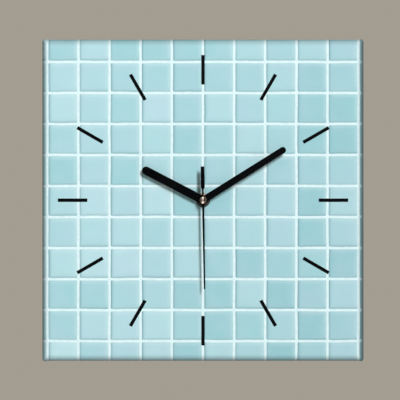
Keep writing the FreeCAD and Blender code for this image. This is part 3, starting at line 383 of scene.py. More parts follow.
def turned_brass_material(name, bright, dull, rim_start, rim_end, metallic=1.0, roughness=0.36,
                          painted_shade=0.0):
    """Brass faced on a lathe, with fine rings round the hand axis.

    It turns browner from one rim radius to the next, in millimetres, as painted shade on the rim.
    The last argument sets how much painted shade darkens the lower side, under the button.
    """
    g = Graph(name)
    place = g.object_place()
    x, _, z = g.split(place)
    radius = g.math("SQRT", g.math("ADD", g.math("MULTIPLY", x, x), g.math("MULTIPLY", z, z)))
    rings = g.math("SINE", g.math("MULTIPLY", radius, 2 * math.pi / CUT_PITCH))
    chatter = g.noise(place, 1800.0, 3.0)
    tarnish = g.noise(place, 380.0, 3.0)
    colour = g.mix(g.remap(tarnish, 0.45, 0.8, 0.0, 0.6), bright, dull)
    # painted shade: from the first rim radius out, the colour is mixed toward dark brown
    rim = g.remap(radius, rim_start * MM, rim_end * MM, 0.0, 0.85)
    colour = g.mix(rim, colour, BRASS_RIM_SHADE)
    # painted shade: a dark colour on the lower side, under the button, with a ragged upper edge
    height = g.math("MULTIPLY_ADD", tarnish, 2.0 * MM, z)
    film = g.remap(height, 1.0 * MM, 5.4 * MM, painted_shade, 0.0, smooth=True)
    g.drive("Base Color", g.mix(film, colour, BRASS_PAINTED_SHADE))
    g.drive("Roughness", g.remap(chatter, 0.2, 0.8, roughness - 0.03, roughness + 0.05))
    tangent = g.node("ShaderNodeTangent", direction_type="RADIAL", axis="Y")
    g.drive("Tangent", tangent.outputs[0])
    g.constant(Metallic=metallic, Anisotropic=0.92 * metallic, Anisotropic_Rotation=SWIRL)
    g.bump(g.math("MULTIPLY_ADD", chatter, 0.3, rings), 0.10, 0.01 * MM)
    return g.material


def lacquer_material():
    """Satin black lacquer on stamped sheet, with faint dust and rub marks."""
    g = Graph("black_lacquer")
    place = g.object_place()
    peel = g.noise(place, 900.0, 2.0)
    rub = g.remap(g.noise(place, 160.0, 4.0, 0.65), 0.55, 0.8)
    g.drive("Base Color", g.mix(g.math("MULTIPLY", rub, 0.5), BLACK, BLACK_RUBBED))
    g.drive("Roughness", g.math("MULTIPLY_ADD", rub, 0.14, g.remap(peel, 0.2, 0.8, 0.24, 0.32)))
    g.constant(Specular_IOR_Level=0.10)
    g.bump(peel, 0.08, 0.03 * MM)
    return g.material


def rubber_material():
    g = Graph("rubber")
    place = g.object_place()
    bloom = g.noise(place, 210.0, 4.0, 0.6)
    g.drive("Base Color", g.mix(g.remap(bloom, 0.4, 0.75, 0.0, 0.5), (0.02, 0.02, 0.02),
                                (0.06, 0.058, 0.055)))
    g.drive("Roughness", g.remap(bloom, 0.2, 0.8, 0.7, 0.9))
    g.bump(g.noise(place, 1500.0, 3.0), 0.3, 0.06 * MM)
    return g.material


def winding_material():
    """Fine enamelled wire wound along the coil's axis."""
    g = Graph("copper_wire")
    place = g.object_place()
    x, _, _ = g.split(place)
    turns = g.math("SINE", g.math("MULTIPLY", x, 2 * math.pi / (0.12 * MM)))
    # painted shade and highlight: the wire is coloured darker between turns and brighter on each
    # turn
    g.drive("Base Color", g.mix(g.remap(turns, -1.0, 1.0), (0.36, 0.12, 0.04), (0.78, 0.34, 0.14)))
    g.drive("Roughness", g.remap(g.noise(place, 600.0, 2.0), 0.2, 0.8, 0.22, 0.36))
    g.constant(Metallic=0.9)
    g.bump(turns, 0.5, 0.04 * MM)
    return g.material


def circuit_material():
    """Solder mask with tracks showing through and the weave of the laminate."""
    g = Graph("circuit_laminate")
    place = g.object_place()
    x, _, z = g.split(g.scale(place, (1 / (2.2 * MM), 1, 1 / (2.2 * MM))))
    bent = g.math("ADD", x, g.noise(place, 90.0, 0.0))
    lane = g.math("ABSOLUTE", g.math("SINE", g.math("MULTIPLY", bent, math.pi)))
    track = g.remap(lane, 0.55, 0.62)
    g.drive("Base Color", g.mix(track, (0.01, 0.085, 0.035), (0.03, 0.19, 0.075)))
    g.drive("Roughness", g.remap(g.noise(place, 500.0, 2.0), 0.2, 0.8, 0.28, 0.42))
    g.bump(g.math("MULTIPLY_ADD", g.math("SINE", z), 0.1, track), 0.3, 0.04 * MM)
    return g.material


def cell_film_material():
    """Shrunk film of the cell: two plain bands, glossy, with fine shrink ripples."""
    g = Graph("cell_film")
    place = g.object_place()
    x, _, _ = g.split(place)
    band = g.remap(x, 9.8 * MM, 10.0 * MM)
    colour = g.mix(band, (0.012, 0.075, 0.085), (0.62, 0.45, 0.20))
    scuffs = g.remap(g.noise(g.scale(place, (0.2, 1, 1)), 420.0, 4.0, 0.7), 0.6, 0.8, 0.0, 0.35)
    g.drive("Base Color", g.mix(scuffs, colour, (0.45, 0.47, 0.47)))
    g.drive("Roughness", g.math("MULTIPLY_ADD", scuffs, 0.6, 0.18))
    g.drive("Metallic", g.math("MULTIPLY", band, 0.55))
    g.constant(Coat_Weight=0.4, Coat_Roughness=0.12)
    g.bump(g.noise(g.scale(place, (0.3, 1, 1)), 260.0, 2.0), 0.08, 0.05 * MM)
    return g.material


# ---------------------------------------------------------------- mesh helpers

def new_piece(name, mesh, material, body, slot, *nodes):
    """Put a mesh in the scene, riding on a body and standing for CAD nodes."""
    piece = bpy.data.objects.new(name, mesh)
    bpy.context.scene.collection.objects.link(piece)
    mesh.materials.clear()
    mesh.materials.append(material)
    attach(piece, body)
    if nodes:
        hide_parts(*nodes)
    return piece


def mesh_from(name, build):
    """New mesh filled by a function that works on a bmesh."""
    work = bmesh.new()
    build(work)
    mesh = bpy.data.meshes.new(name)
    bmesh.ops.recalc_face_normals(work, faces=work.faces)
    work.to_mesh(mesh)
    work.free()
    return mesh


def settle(piece):
    """Apply a piece's modifiers to its mesh."""
    bpy.context.view_layer.update()
    graph = bpy.context.evaluated_depsgraph_get()
    solid = bpy.data.meshes.new_from_object(piece.evaluated_get(graph))
    piece.modifiers.clear()
    old = piece.data
    piece.data = solid
    bpy.data.meshes.remove(old)


def shade(mesh, degrees=32):
    """Smooth shading that stays crisp at real edges."""
    mesh.shade_smooth()
    mesh.set_sharp_from_angle(angle=math.radians(degrees))


def eased(node, name, material, body, slot, width, steps=2):
    """The CAD piece with its edges broken by a small rounding, as a finished piece has."""
    work = bmesh.new()
    work.from_mesh(NODES[node].data)
    bmesh.ops.remove_doubles(work, verts=work.verts, dist=1e-6)
    bmesh.ops.dissolve_limit(work, angle_limit=math.radians(0.6), verts=work.verts,
                             edges=work.edges)
    mesh = bpy.data.meshes.new(name)
    work.to_mesh(mesh)
    work.free()
    piece = new_piece(name, mesh, material, body, slot, node)
    mesh.shade_smooth()
    rounding = piece.modifiers.new("rounding", "BEVEL")
    rounding.width = width
    rounding.segments = steps
    rounding.limit_method = "ANGLE"
    rounding.angle_limit = math.radians(34)
    flatness = piece.modifiers.new("flatness", "WEIGHTED_NORMAL")
    flatness.weight = 80
    flatness.keep_sharp = True
    settle(piece)
    return piece


def join_rings(work, rings):
    """Faces between each ring of points and the next."""
    for first, second in zip(rings, rings[1:]):
        count = len(first)
        for step in range(count):
            after = (step + 1) % count
            work.faces.new((first[step], first[after], second[after], second[step]))


def circle(work, radius, depth, steps):
    """Ring of points round the hand axis."""
    angles = [2 * math.pi * step / steps for step in range(steps)]
    return [work.verts.new((radius * math.cos(a), depth, radius * math.sin(a))) for a in angles]


def turned(name, profile, steps=96):
    """Solid of revolution round the hand axis; the profile is (radius, depth) pairs."""
    def build(work):
        rings = [circle(work, radius, depth, steps) for radius, depth in profile]
        join_rings(work, rings)
        if profile[0] != profile[-1]:
            work.faces.new(rings[0])
            work.faces.new(rings[-1])
        else:
            bmesh.ops.remove_doubles(work, verts=work.verts, dist=1e-7)
    return mesh_from(name, build)


# ---------------------------------------------------------------- canvas

EDGE_ROUND = 4.3 * MM
CORNER_ROUND = 2.3 * MM
BACK_ROUND = 0.9 * MM
SKIN = 0.38 * MM
HEM_FACE = -0.12 * MM
HEM_EDGE = 127.6 * MM
HEM_WIDTH = HALF - HEM_EDGE
HEM_CORNER = 0.35 * MM
LEAST_CORNER = 0.5 * MM
FRAY = 0.25 * MM
SIDE_LENGTH = WALL + HEM_FACE - BACK_ROUND - (FRONT + EDGE_ROUND)
CLOTH_TO_HEM = EDGE_ROUND * math.pi / 2 + SIDE_LENGTH + BACK_ROUND * math.pi / 2
CORNER_STEPS = 6
SIDE_STEPS = 72
FRONT_RINGS = 14
FOLD_REACH = 19 * MM
FOLD_STEP = 0.42 * MM
FOLD_SLANT = 0.86
FOLD_START = 1.2 * MM
FOLD_SOFT = 1.4 * MM
# how far the canvas reaches in over the bush's flange
HOLE_OVERLAP = 1.1 * MM
# sides of the square, anticlockwise: right, top, left and bottom
OUTWARD = (Vector((1, 0)), Vector((0, 1)), Vector((-1, 0)), Vector((0, -1)))


def square_loop(half, corner):
    """Points round a rounded square, each with the number of the side it belongs to."""
    points = []
    for side in range(4):
        turn = Matrix.Rotation(side * math.pi / 2, 2)
        straight = half - corner
        for step in range(SIDE_STEPS):
            share = 2 * step / (SIDE_STEPS - 1) - 1
            points.append((turn @ Vector((half, share * straight)), side))
        for step in range(1, CORNER_STEPS):
            angle = math.pi / 2 * step / CORNER_STEPS
            place = Vector((straight + corner * math.cos(angle),
                            straight + corner * math.sin(angle)))
            points.append((turn @ place, side if step < CORNER_STEPS / 2 else (side + 1) % 4))
    return points


def fold_lift(x, z, depth_back):
    """Extra thickness of the tucked cloth on the top and bottom sides, near each corner."""
    if abs(z) < abs(x) - 1 * MM and abs(z) < HALF - 3 * MM:
        return 0.0
    inward = HALF - abs(x)
    ridge = depth_back * FOLD_SLANT + FOLD_START - inward
    share = min(max(ridge / FOLD_SOFT, 0.0), 1.0)
    return FOLD_STEP * share * share * (3 - 2 * share)


def cloth_rows():
    """Rows of the skin from the flat front's edge to the hem: half width, depth, cloth run."""
    rows = []
    flat = HALF - EDGE_ROUND
    for step in range(9):
        angle = math.pi / 2 * step / 8
        half = flat + EDGE_ROUND * math.sin(angle)
        rows.append((half, FRONT + EDGE_ROUND * (1 - math.cos(angle)), EDGE_ROUND * angle))
    start = FRONT + EDGE_ROUND
    run = EDGE_ROUND * math.pi / 2
    for step in range(1, 15):
        share = step / 14
        rows.append((HALF, start + SIDE_LENGTH * share, run + SIDE_LENGTH * share))
    run += SIDE_LENGTH
    for step in range(1, 5):
        angle = math.pi / 2 * step / 4
        rows.append((HALF - BACK_ROUND * (1 - math.cos(angle)),
                     start + SIDE_LENGTH + BACK_ROUND * math.sin(angle), run + BACK_ROUND * angle))
    run += BACK_ROUND * math.pi / 2
    for step in range(1, 9):
        share = step / 8
        rows.append((HALF - BACK_ROUND - (HEM_WIDTH - BACK_ROUND) * share, WALL + HEM_FACE,
                     run + (HEM_WIDTH - BACK_ROUND) * share))
    return rows


def cloth_spot(side, reach, x, z):
    """Place on the flat sheet of a point on one side of the square."""
    return ((reach, z), (x, reach), (-reach, z), (x, -reach))[side]


def front_rings():
    """Rings of the flat front, from the centre hole out to the square: (point, side, u, v)."""
    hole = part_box("threaded_bush")[1][0] - HOLE_OVERLAP
    outline = square_loop(HALF - EDGE_ROUND, LEAST_CORNER)
    rings = []
    for step in range(FRONT_RINGS + 1):
        share = (step / FRONT_RINGS) ** 1.25
        ring = []
        for place, side in outline:
            spot = (place.normalized() * hole).lerp(place, share)
            ring.append((Vector((spot.x, FRONT, spot.y)), side, spot.x, spot.y))
        rings.append(ring)
    return rings


def side_ring(half, depth, run, fray=None):
    """One ring round the edge, a side or the hem; fray roughens the cut end."""
    inset = HALF - half
    on_hem = depth > WALL + HEM_FACE - 0.01 * MM
    corner = max(CORNER_ROUND - inset, LEAST_CORNER)
    if on_hem and inset > 2 * MM:
        corner = HEM_CORNER
    ring = []
    for place, side in square_loop(half, corner):
        x, z = place
        lift = 0.0
        raised = 0.0
        if side in (1, 3) and depth > FRONT + EDGE_ROUND * 0.5 and not on_hem:
            lift = fold_lift(x, z, depth - FRONT)
        if fray:
            lift += fray.uniform(-FRAY, FRAY)
        if on_hem and side in (1, 3) and HALF - abs(x) < FOLD_REACH and inset > BACK_ROUND:
            edge = min((FOLD_REACH - (HALF - abs(x))) / (1.5 * MM), 1.0)
            raised = -HEM_FACE * 0.9 * edge
        spot = place + OUTWARD[side] * lift
        cloth = cloth_spot(side, HALF - EDGE_ROUND + run, x, z)
        ring.append((Vector((spot.x, depth + raised, spot.y)), side, *cloth))
    return ring


def on_sheet(spot, side):
    """Cloth place of a ring's point as a side sees it, which differs at a folded corner."""
    point, own_side, u, v = spot
    if own_side == side or abs(point.y - FRONT) < 1e-7:
        return u, v
    return cloth_spot(side, max(abs(u), abs(v)), point.x, point.z)


def skin_mesh(rings):
    """Mesh over the rings, with each point's place on the flat sheet in a layer."""
    work = bmesh.new()
    layer = work.loops.layers.uv.new(CLOTH)
    grid = [[work.verts.new(entry[0]) for entry in ring] for ring in rings]
    count = len(rings[0])
    for low, high, low_ring, high_ring in zip(grid, grid[1:], rings, rings[1:]):
        for step in range(count):
            after = (step + 1) % count
            face = work.faces.new((low[step], low[after], high[after], high[step]))
            side = high_ring[step][1]
            spots = (low_ring[step], low_ring[after], high_ring[after], high_ring[step])
            for loop, spot in zip(face.loops, spots):
                loop[layer].uv = on_sheet(spot, side)
    work.normal_update()
    mesh = bpy.data.meshes.new("canvas_skin")
    work.to_mesh(mesh)
    work.free()
    return mesh


def make_canvas(material):
    """One sheet: flat front with a hole, rounded edge, sides with folded corners, and hem."""
    rows = cloth_rows()[1:]
    rings = front_rings()
    rings += [side_ring(*row) for row in rows[:-1]]
    rings.append(side_ring(*rows[-1], fray=random.Random(5)))
    piece = new_piece("canvas_skin", skin_mesh(rings), material, ROOT, "printed_canvas",
                      "canvas_print")
    thick = piece.modifiers.new("thickness", "SOLIDIFY")
    thick.thickness = SKIN
    thick.offset = 1
    settle(piece)
    shade(piece.data, 50)
    return piece


def make_loose_threads(material):
    """Frayed ends along the cut edge of the hem."""
    chance = random.Random(11)
    inner = HALF - HEM_WIDTH

    def build(work):
        for _ in range(150):
            side = chance.randrange(4)
            along = chance.uniform(-inner + 2 * MM, inner - 2 * MM)
            length = chance.uniform(1.0, 4.2) * MM
            bend = chance.uniform(-0.5, 0.5) * length
            turn = Matrix.Rotation(side * math.pi / 2, 2)
            depth = WALL + HEM_FACE - 0.2 * MM
            path = []
            for step in range(5):
                share = step / 4
                spot = turn @ Vector((inner + 0.6 * MM - length * share,
                                      along + bend * share * share))
                path.append(Vector((spot.x, depth - 0.15 * MM * share, spot.y)))
            thin = chance.uniform(0.07, 0.11) * MM
            rings = []
            for spot in path:
                ring = [work.verts.new(spot + Vector((thin * math.cos(a), thin * math.sin(a) * 0.6,
                                                      thin * math.cos(a + 1.57))))
                        for a in (0.0, 2.1, 4.2)]
                rings.append(ring)
            join_rings(work, rings)
    mesh = mesh_from("hem_threads", build)
    new_piece("hem_threads", mesh, material, ROOT, "printed_canvas")


def thread_material():
    g = Graph("cotton_thread")
    fuzz = g.noise(g.object_place(), 1600.0, 3.0)
    g.drive("Base Color", g.mix(fuzz, (0.84, 0.81, 0.74), (0.66, 0.61, 0.53)))
    g.drive("Roughness", g.remap(fuzz, 0.2, 0.8, 0.7, 0.9))
    g.constant(Sheen_Weight=0.2)
    g.bump(fuzz, 0.3, 0.03 * MM)
    return g.material


# ---------------------------------------------------------------- hub

def make_button(material):
    """Turned button: flat dished face, a rounded rim and an undercut, on its sleeve."""
    low, high = box("second_hand_bush")
    radius = high.x
    front, back = low.y, high.y
    rim = 0.32 * MM
    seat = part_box("second_hand")[0][1]
    sleeve, bore = 1.2 * MM, 0.56 * MM
    profile = [(0.05 * MM, front + 0.10 * MM), (radius * 0.45, front + 0.085 * MM),
               (radius * 0.72, front + 0.04 * MM), (radius - rim * 1.6, front)]
    for step in range(7):
        angle = math.pi / 2 * step / 6
        profile.append((radius - rim * (1 - math.sin(angle)), front + rim * (1 - math.cos(angle))))
    profile += [(radius, seat - 0.12 * MM), (radius - 0.1 * MM, seat - 0.02 * MM),
                (sleeve, seat - 0.01 * MM), (sleeve, back - 0.1 * MM), (sleeve - 0.1 * MM, back),
                (bore, back)]
    mesh = turned("second_hand_button", profile)
    shade(mesh, 40)
    new_piece("second_hand_button", mesh, material, "seconds", "brass", "second_hand_bush")


def make_bush(material):
    """Threaded bush: a real helix cut in the outside, a plain bore and the inner flange."""
    low, high = box("threaded_bush")
    front, back = low.y, high.y
    outer, bore, flange = 4.0 * MM, 2.7 * MM, high.x
    pitch, depth = 0.75 * MM, 0.42 * MM
    seat = back - 0.6 * MM
    lead, run_in = 0.3 * MM, 0.5 * MM
    steps, rows = 72, 110

    def build(work):
        grid = []
        for row in range(rows + 1):
            y = front + (seat - front) * row / rows
            ring = []
            for step in range(steps):
                angle = 2 * math.pi * step / steps
                phase = (y / pitch + step / steps) % 1.0
                tooth = 1 - abs(2 * phase - 1)
                fade = min((y - front) / run_in, 1.0)
                radius = outer - depth * (1 - tooth * fade)
                ring.append(work.verts.new((radius * math.cos(angle), y, radius * math.sin(angle))))
            grid.append(ring)
        for radius, y in ((flange, seat), (flange, back), (bore, back), (bore, front + lead),
                          (bore + lead, front)):
            grid.append(circle(work, radius, y, steps))
        grid.append(grid[0])
        join_rings(work, grid)
    mesh = mesh_from("bush_thread", build)
    shade(mesh, 30)
    new_piece("bush_thread", mesh, material, ROOT, "brass", "threaded_bush")


def make_nut(material):
    """Hex nut with chamfered corners on both faces and a countersunk hole."""
    low, high = box("hex_nut")
    flats = high.z
    front, back = low.y, high.y
    bore = 3.72 * MM
    chamfer, sink = 0.35 * MM, 0.3 * MM
    slope = math.tan(math.radians(28))
    steps = 120

    def hexagon(angle):
        folded = (angle % (math.pi / 3)) - math.pi / 6
        return flats / math.cos(folded)

    def build(work):
        grid = []
        for y, part in ((front, "hole"), (front, "face"), (front + chamfer, "side"),
                        (back - chamfer, "side"), (back, "face"), (back, "hole")):
            ring = []
            for step in range(steps):
                angle = 2 * math.pi * step / steps
                edge = hexagon(angle)
                depth = y
                if part == "hole":
                    radius = bore + chamfer
                elif part == "face":
                    radius = flats * 0.985
                else:
                    radius = edge
                    cut = max(edge - flats, 0.0) * slope
                    depth = y + cut if y < (front + back) / 2 else y - cut
                ring.append(work.verts.new((radius * math.cos(angle), depth,
                                            radius * math.sin(angle))))
            grid.append(ring)
        for y in (back - sink, front + sink):
            grid.append(circle(work, bore, y, steps))
        grid.append(grid[0])
        join_rings(work, grid)
    mesh = mesh_from("clamping_nut", build)
    shade(mesh, 24)
    new_piece("clamping_nut", mesh, material, ROOT, "brass", "hex_nut")


def make_brass_washer(material):
    low, high = box("brass_washer")
    outer, bore = high.x, 4.1 * MM
    front, back = low.y, high.y
    ease = 0.12 * MM
    profile = [(bore, front + ease), (bore + ease, front), (outer - ease, front),
               (outer, front + ease), (outer, back - ease), (outer - ease, back),
               (bore + ease, back), (bore, back - ease), (bore, front + ease)]
    mesh = turned("brass_shim", profile)
    shade(mesh, 30)
    new_piece("brass_shim", mesh, material, ROOT, "brass", "brass_washer")


# ---------------------------------------------------------------- fasteners in the back

STAPLE_WIRE = 0.55 * MM
STAPLE_THIN = 0.24 * MM
STAPLE_CROWN = 10 * MM
STAPLE_LEG = 5 * MM
STAPLE_PITCH = 42 * MM
STAPLES_A_SIDE = 6
STAPLE_LINE = HALF - 14.4 * MM


def staple_path():
    """Middle of a staple's wire as (along, depth) pairs, from one point to the other."""
    end = STAPLE_CROWN / 2
    bend = [(end, -STAPLE_LEG), (end, -0.9 * MM), (end - 0.25 * MM, -0.4 * MM),
            (end - 0.8 * MM, -STAPLE_THIN)]
    mirrored = [(-along, depth) for along, depth in bend]
    return mirrored + [(0.0, -STAPLE_THIN)] + bend[::-1]


def add_staple(work, turn, middle, tilt):
    """Flat wire along the path, on the side of the square that the turn gives."""
    path = staple_path()
    rings = []
    for index, (along, depth) in enumerate(path):
        before = path[max(index - 1, 0)]
        after = path[min(index + 1, len(path) - 1)]
        way = Vector((after[0] - before[0], after[1] - before[1])).normalized()
        out = Vector((-way.y, way.x))
        ring = []
        for corner in range(8):
            angle = 2 * math.pi * (corner + 0.5) / 8
            over = STAPLE_THIN * math.cos(angle)
            wide = STAPLE_WIRE * math.sin(angle)
            spot = turn @ Vector((STAPLE_LINE + wide + tilt * along,
                                  middle + along + out.x * over))
            ring.append(work.verts.new((spot.x, WALL + depth + out.y * over, spot.y)))
        rings.append(ring)
    join_rings(work, rings)
    work.faces.new(rings[0])
    work.faces.new(rings[-1])


def make_staples(material):
    """Wire staples with a flattened crown, bent corners and legs in the wood."""
    def build(work):
        chance = random.Random(21)
        for side in range(4):
            turn = Matrix.Rotation(side * math.pi / 2, 2)
            for step in range(STAPLES_A_SIDE):
                middle = (step - (STAPLES_A_SIDE - 1) / 2) * STAPLE_PITCH
                add_staple(work, turn, middle, chance.uniform(-0.02, 0.02))
    mesh = mesh_from("hem_staples", build)
    shade(mesh, 50)
    new_piece("hem_staples", mesh, material, ROOT, "zinc_steel", "canvas_staples")


def raised_band(work, centre, inner, outer, low, high, start=0.0, sweep=2 * math.pi, steps=72):
    """Low wall that follows an arc round a line along Y."""
    whole = sweep > 2 * math.pi - 1e-6
    rings = []
    for step in range(steps if whole else steps + 1):
        angle = start + sweep * step / steps
        cos, sin = math.cos(angle), math.sin(angle)
        ease = 0.3 * (high - low)
        section = ((inner, low), (inner, high - ease), (inner + ease, high),
                   (outer - ease, high), (outer, high - ease), (outer, low))
        rings.append([work.verts.new((centre[0] + radius * cos, depth, centre[1] + radius * sin))
                      for radius, depth in section])
    join_rings(work, rings + rings[:1] if whole else rings)
    if not whole:
        work.faces.new(rings[0])
        work.faces.new(rings[-1])


def raised_arrow(work, centre, radius, start, skin, top):
    """Arc with a three-cornered head, which shows the way that the knob turns."""
    sweep, half_width, half_head, head_turn = 0.95, 0.35 * MM, 1.15 * MM, 0.2
    raised_band(work, centre, radius - half_width, radius + half_width, skin, top, start, sweep, 24)
    end = start + sweep
    corners = ((radius, end + head_turn), (radius - half_head, end), (radius + half_head, end))
    spots = [(centre[0] + r * math.cos(a), centre[1] + r * math.sin(a)) for r, a in corners]
    rings = [[work.verts.new((x, depth, z)) for x, z in spots] for depth in (skin, top)]
    join_rings(work, rings)
    work.faces.new(rings[0])
    work.faces.new(rings[1])


def raised_border(work, left, right, bottom, ceiling, skin, top):
    """Four low walls round a rectangle."""
    wide = 0.45 * MM
    for x0, x1, z0, z1 in ((left, right, bottom, bottom + wide),
                           (left, right, ceiling - wide, ceiling),
                           (left, left + wide, bottom + wide, ceiling - wide),
                           (right - wide, right, bottom + wide, ceiling - wide)):
        place = Matrix.Translation(((x0 + x1) / 2, (skin + top) / 2, (z0 + z1) / 2))
        size = Matrix.Diagonal((x1 - x0, top - skin, z1 - z0, 1))
        bmesh.ops.create_cube(work, size=1.0, matrix=place @ size)


def make_cover_marks(material):
    """Moulded details on the cover: a collar and turning arrows round the knob, ejector rings."""
    knob_low, knob_high = box("setting_knob")
    centre = ((knob_low.x + knob_high.x) / 2, (knob_low.z + knob_high.z) / 2)
    reach = (knob_high.x - knob_low.x) / 2
    low, high = box("rear_case")
    cover = high.y
    skin = cover - 0.06 * MM
    mark_top, border_top, ring_top = cover + 0.45 * MM, cover + 0.25 * MM, cover + 0.12 * MM
    pin_inset, pin_rise, border_inset = 5 * MM, 6 * MM, 2.2 * MM
    border_bottom = -9.6 * MM

    def build(work):
        raised_band(work, centre, reach + 0.8 * MM, reach + 1.5 * MM, skin, mark_top)
        for start in (0.35, 0.35 + math.pi):
            raised_arrow(work, centre, reach + 2.9 * MM, start, skin, mark_top)
        for across in (low.x + pin_inset, high.x - pin_inset):
            for up in (high.z - pin_inset, low.z + pin_rise):
                raised_band(work, (across, up), 1.5 * MM, 1.8 * MM, skin, ring_top, steps=32)
        raised_border(work, low.x + border_inset, high.x - border_inset, border_bottom,
                      high.z - border_inset, skin, border_top)
    mesh = mesh_from("cover_marks", build)
    shade(mesh, 35)
    new_piece("cover_marks", mesh, material, ROOT, "black_plastic")


# ---------------------------------------------------------------- dress the object

def dress(node, material):
    """Give a CAD node its material in every slot."""
    slots = NODES[node].material_slots
    for slot in slots:
        slot.material = material
    if not slots:
        NODES[node].data.materials.append(material)


def dress_clock():
    """Make every material and put it on its piece, with finished meshes where they help."""
    canvas = canvas_material()
    steel = metal_material("zinc_steel", (0.62, 0.62, 0.60), (0.36, 0.36, 0.36), 0.34)
    contact = metal_material("contact_steel", (0.70, 0.67, 0.62), (0.45, 0.42, 0.38), 0.28)
    iron = metal_material("soft_iron", (0.42, 0.42, 0.42), (0.24, 0.22, 0.21), 0.42)
    plated = metal_material("cell_steel", (0.78, 0.78, 0.77), (0.55, 0.55, 0.54), 0.2)
    magnet = metal_material("magnet", (0.16, 0.16, 0.17), (0.09, 0.09, 0.09), 0.4)
    black = moulded_material("black_plastic", (0.012, 0.012, 0.013), (0.028, 0.028, 0.03), 0.42)
    rubbed = moulded_material("rubbed_plastic", (0.040, 0.040, 0.042), (0.075, 0.075, 0.078), 0.34)
    grey = moulded_material("grey_plastic", (0.17, 0.175, 0.18), (0.25, 0.25, 0.26), 0.4)
    acetal = moulded_material("gear_plastic", (0.78, 0.76, 0.69), (0.70, 0.67, 0.58), 0.3, 0.1)
    nylon = moulded_material("bobbin_plastic", (0.74, 0.73, 0.66), (0.66, 0.63, 0.55), 0.32, 0.1)
    epoxy = moulded_material("epoxy", (0.01, 0.01, 0.01), (0.02, 0.02, 0.02), 0.18, 0.05)
    seal = moulded_material("seal_plastic", (0.03, 0.03, 0.032), (0.05, 0.05, 0.05), 0.45)
    button_brass = turned_brass_material("button_brass", (0.44, 0.37, 0.315), (0.33, 0.26, 0.19),
                                         2.75, 3.15)
    brass = turned_brass_material("turned_brass", (0.66, 0.57, 0.46), (0.34, 0.27, 0.18), 5.4, 6.5,
                                  metallic=0.25, roughness=0.46, painted_shade=0.94)
    lacquer = lacquer_material()
    rubber = rubber_material()

    skin = make_canvas(canvas)
    make_loose_threads(thread_material())
    dress("hour_marks", ink_material())

    eased("backing_board", "board_panel", hardboard_material(), ROOT, "hardboard", 0.3 * MM)
    for axis, sides in (("x", ("top", "bottom")), ("z", ("left", "right"))):
        pine = pine_material(axis)
        for side in sides:
            eased(f"stretcher_bar_{side}", f"pine_bar_{side}", pine, ROOT, "pine", 0.7 * MM)
    make_staples(steel)
    eased("corner_v_nails", "v_nails", steel, ROOT, "zinc_steel", 0.1 * MM)

    eased("front_case", "movement_tub", black, ROOT, "black_plastic", 0.28 * MM)
    eased("rear_case", "movement_cover", black, ROOT, "black_plastic", 0.22 * MM)
    make_cover_marks(rubbed)
    eased("setting_knob", "set_knob", grey, "setting", "grey_plastic", 0.14 * MM)
    eased("rubber_washer", "rubber_gasket", rubber, ROOT, "rubber", 0.12 * MM)
    eased("contact_positive", "plus_spring", contact, ROOT, "contact_steel", 0.06 * MM)
    eased("contact_negative", "minus_spring", contact, ROOT, "contact_steel", 0.06 * MM)
    eased("cell_sleeve", "cell_jacket", cell_film_material(), "cell", "cell_film", 0.05 * MM)
    eased("cell_can", "cell_tin", plated, "cell", "cell_steel", 0.35 * MM, 3)
    make_bush(brass)
    make_nut(brass)
    make_brass_washer(brass)

    eased("hour_hand", "hour_pointer", lacquer, "hours", "black_lacquer", 0.09 * MM)
    eased("minute_hand", "minute_pointer", lacquer, "minutes", "black_lacquer", 0.09 * MM)
    eased("second_hand", "second_pointer", lacquer, "seconds", "black_lacquer", 0.05 * MM)
    make_button(button_brass)

    for node in ("minute_pipe", "hour_wheel", "motion_wheel", "centre_wheel", "third_wheel",
                 "seconds_wheel", "intermediate_wheel", "rotor_pinion", "setting_pinion"):
        dress(node, acetal)
    dress("middle_plate", grey)
    dress("seconds_arbor", plated)
    dress("rotor_magnet", magnet)
    dress("clutch_spring", contact)
    dress("stator", iron)
    dress("coil_core", iron)
    dress("core_rivets", steel)
    dress("coil_bobbin", nylon)
    dress("coil_winding", winding_material())
    dress("circuit_board", circuit_material())
    dress("clock_chip", epoxy)
    dress("quartz_crystal", plated)
    dress("cell_seal", seal)
    dress("cell_negative_cap", plated)


# ---------------------------------------------------------------- stage, light and camera

def plain_material(name, colour):
    g = Graph(name)
    speck = g.noise(g.object_place(), 4.0, 2.0)
    g.drive("Base Color", g.mix(speck, colour, tuple(0.97 * part for part in colour)))
    g.constant(Roughness=0.9, Specular_IOR_Level=0.1)
    return g.material


def area_light(name, place, aim, size, power, colour=(1, 1, 1), tall=None):
    """Soft light aimed at a point: a disc, or a panel when it has a height of its own."""
    lamp = bpy.data.lights.new(name, "AREA")
    lamp.shape = "RECTANGLE" if tall else "DISK"
    lamp.size = size
    if tall:
        lamp.size_y = tall
    lamp.energy = power
    lamp.color = colour
    thing = bpy.data.objects.new(name, lamp)
    thing.location = place
    thing.rotation_euler = (Vector(aim) - Vector(place)).to_track_quat("-Z", "Y").to_euler()
    bpy.context.scene.collection.objects.link(thing)


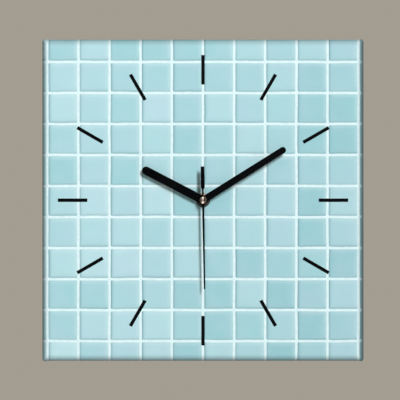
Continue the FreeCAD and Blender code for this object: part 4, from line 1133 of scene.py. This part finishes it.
def make_floor():
    """Pale round floor well below the clock."""
    drop, radius = 1.15, 4.0
    level = Matrix.Translation((0, 0, -drop))
    mesh = mesh_from("floor", lambda work: bmesh.ops.create_circle(
        work, cap_ends=True, segments=96, radius=radius, matrix=level))
    floor = bpy.data.objects.new("floor", mesh)
    mesh.materials.append(plain_material("floor_paint", (0.82, 0.81, 0.79)))
    bpy.context.scene.collection.objects.link(floor)


def make_backdrop():
    """Studio backdrop: dim on the side of the camera and brighter behind the clock."""
    world = bpy.data.worlds.new("studio")
    bpy.context.scene.world = world
    world.use_nodes = True
    tree = world.node_tree
    way = tree.nodes.new("ShaderNodeTexCoord")
    parts = tree.nodes.new("ShaderNodeSeparateXYZ")
    ramp = tree.nodes.new("ShaderNodeMapRange")
    tree.links.new(way.outputs["Generated"], parts.inputs[0])
    tree.links.new(parts.outputs["Y"], ramp.inputs["Value"])
    for name, number in (("From Min", -0.5), ("From Max", 0.3), ("To Min", 0.08), ("To Max", 0.45)):
        ramp.inputs[name].default_value = number
    backdrop = tree.nodes["Background"]
    backdrop.inputs["Color"].default_value = (0.82, 0.75, 0.63, 1)
    tree.links.new(ramp.outputs[0], backdrop.inputs["Strength"])


def make_lights():
    """Tall key panel at the upper right, with weak fill and top lights and one behind."""
    middle = (0, 0, 0)
    area_light("key", (0.87, -2.13, 1.26), middle, 0.48, 73.5, (0.98, 0.99, 0.985), tall=0.95)
    area_light("fill", (-1.9, -1.5, 0.9), middle, 1.6, 1.0, (0.93, 0.97, 1.0))
    area_light("top", (0.0, -1.0, 1.75), middle, 0.35, 2.5)
    area_light("back", (1.2, 2.2, 1.3), middle, 1.2, 45.0)


def make_camera():
    """Long lens straight on, a little left of the hand axis and above it."""
    camera = bpy.data.cameras.new("camera")
    camera.lens = 150
    camera.sensor_width = 36
    frame_width = 372.7 * MM
    distance = frame_width * camera.lens / camera.sensor_width
    left, up = 2.8 * MM, 0.2 * MM
    thing = bpy.data.objects.new("camera", camera)
    thing.location = (-left, FRONT - distance, up)
    thing.rotation_euler = (math.pi / 2, 0, 0)
    bpy.context.scene.collection.objects.link(thing)
    bpy.context.scene.camera = thing
    bpy.context.scene.view_settings.view_transform = "Standard"


dress_clock()
make_floor()
make_backdrop()
make_lights()
make_camera()
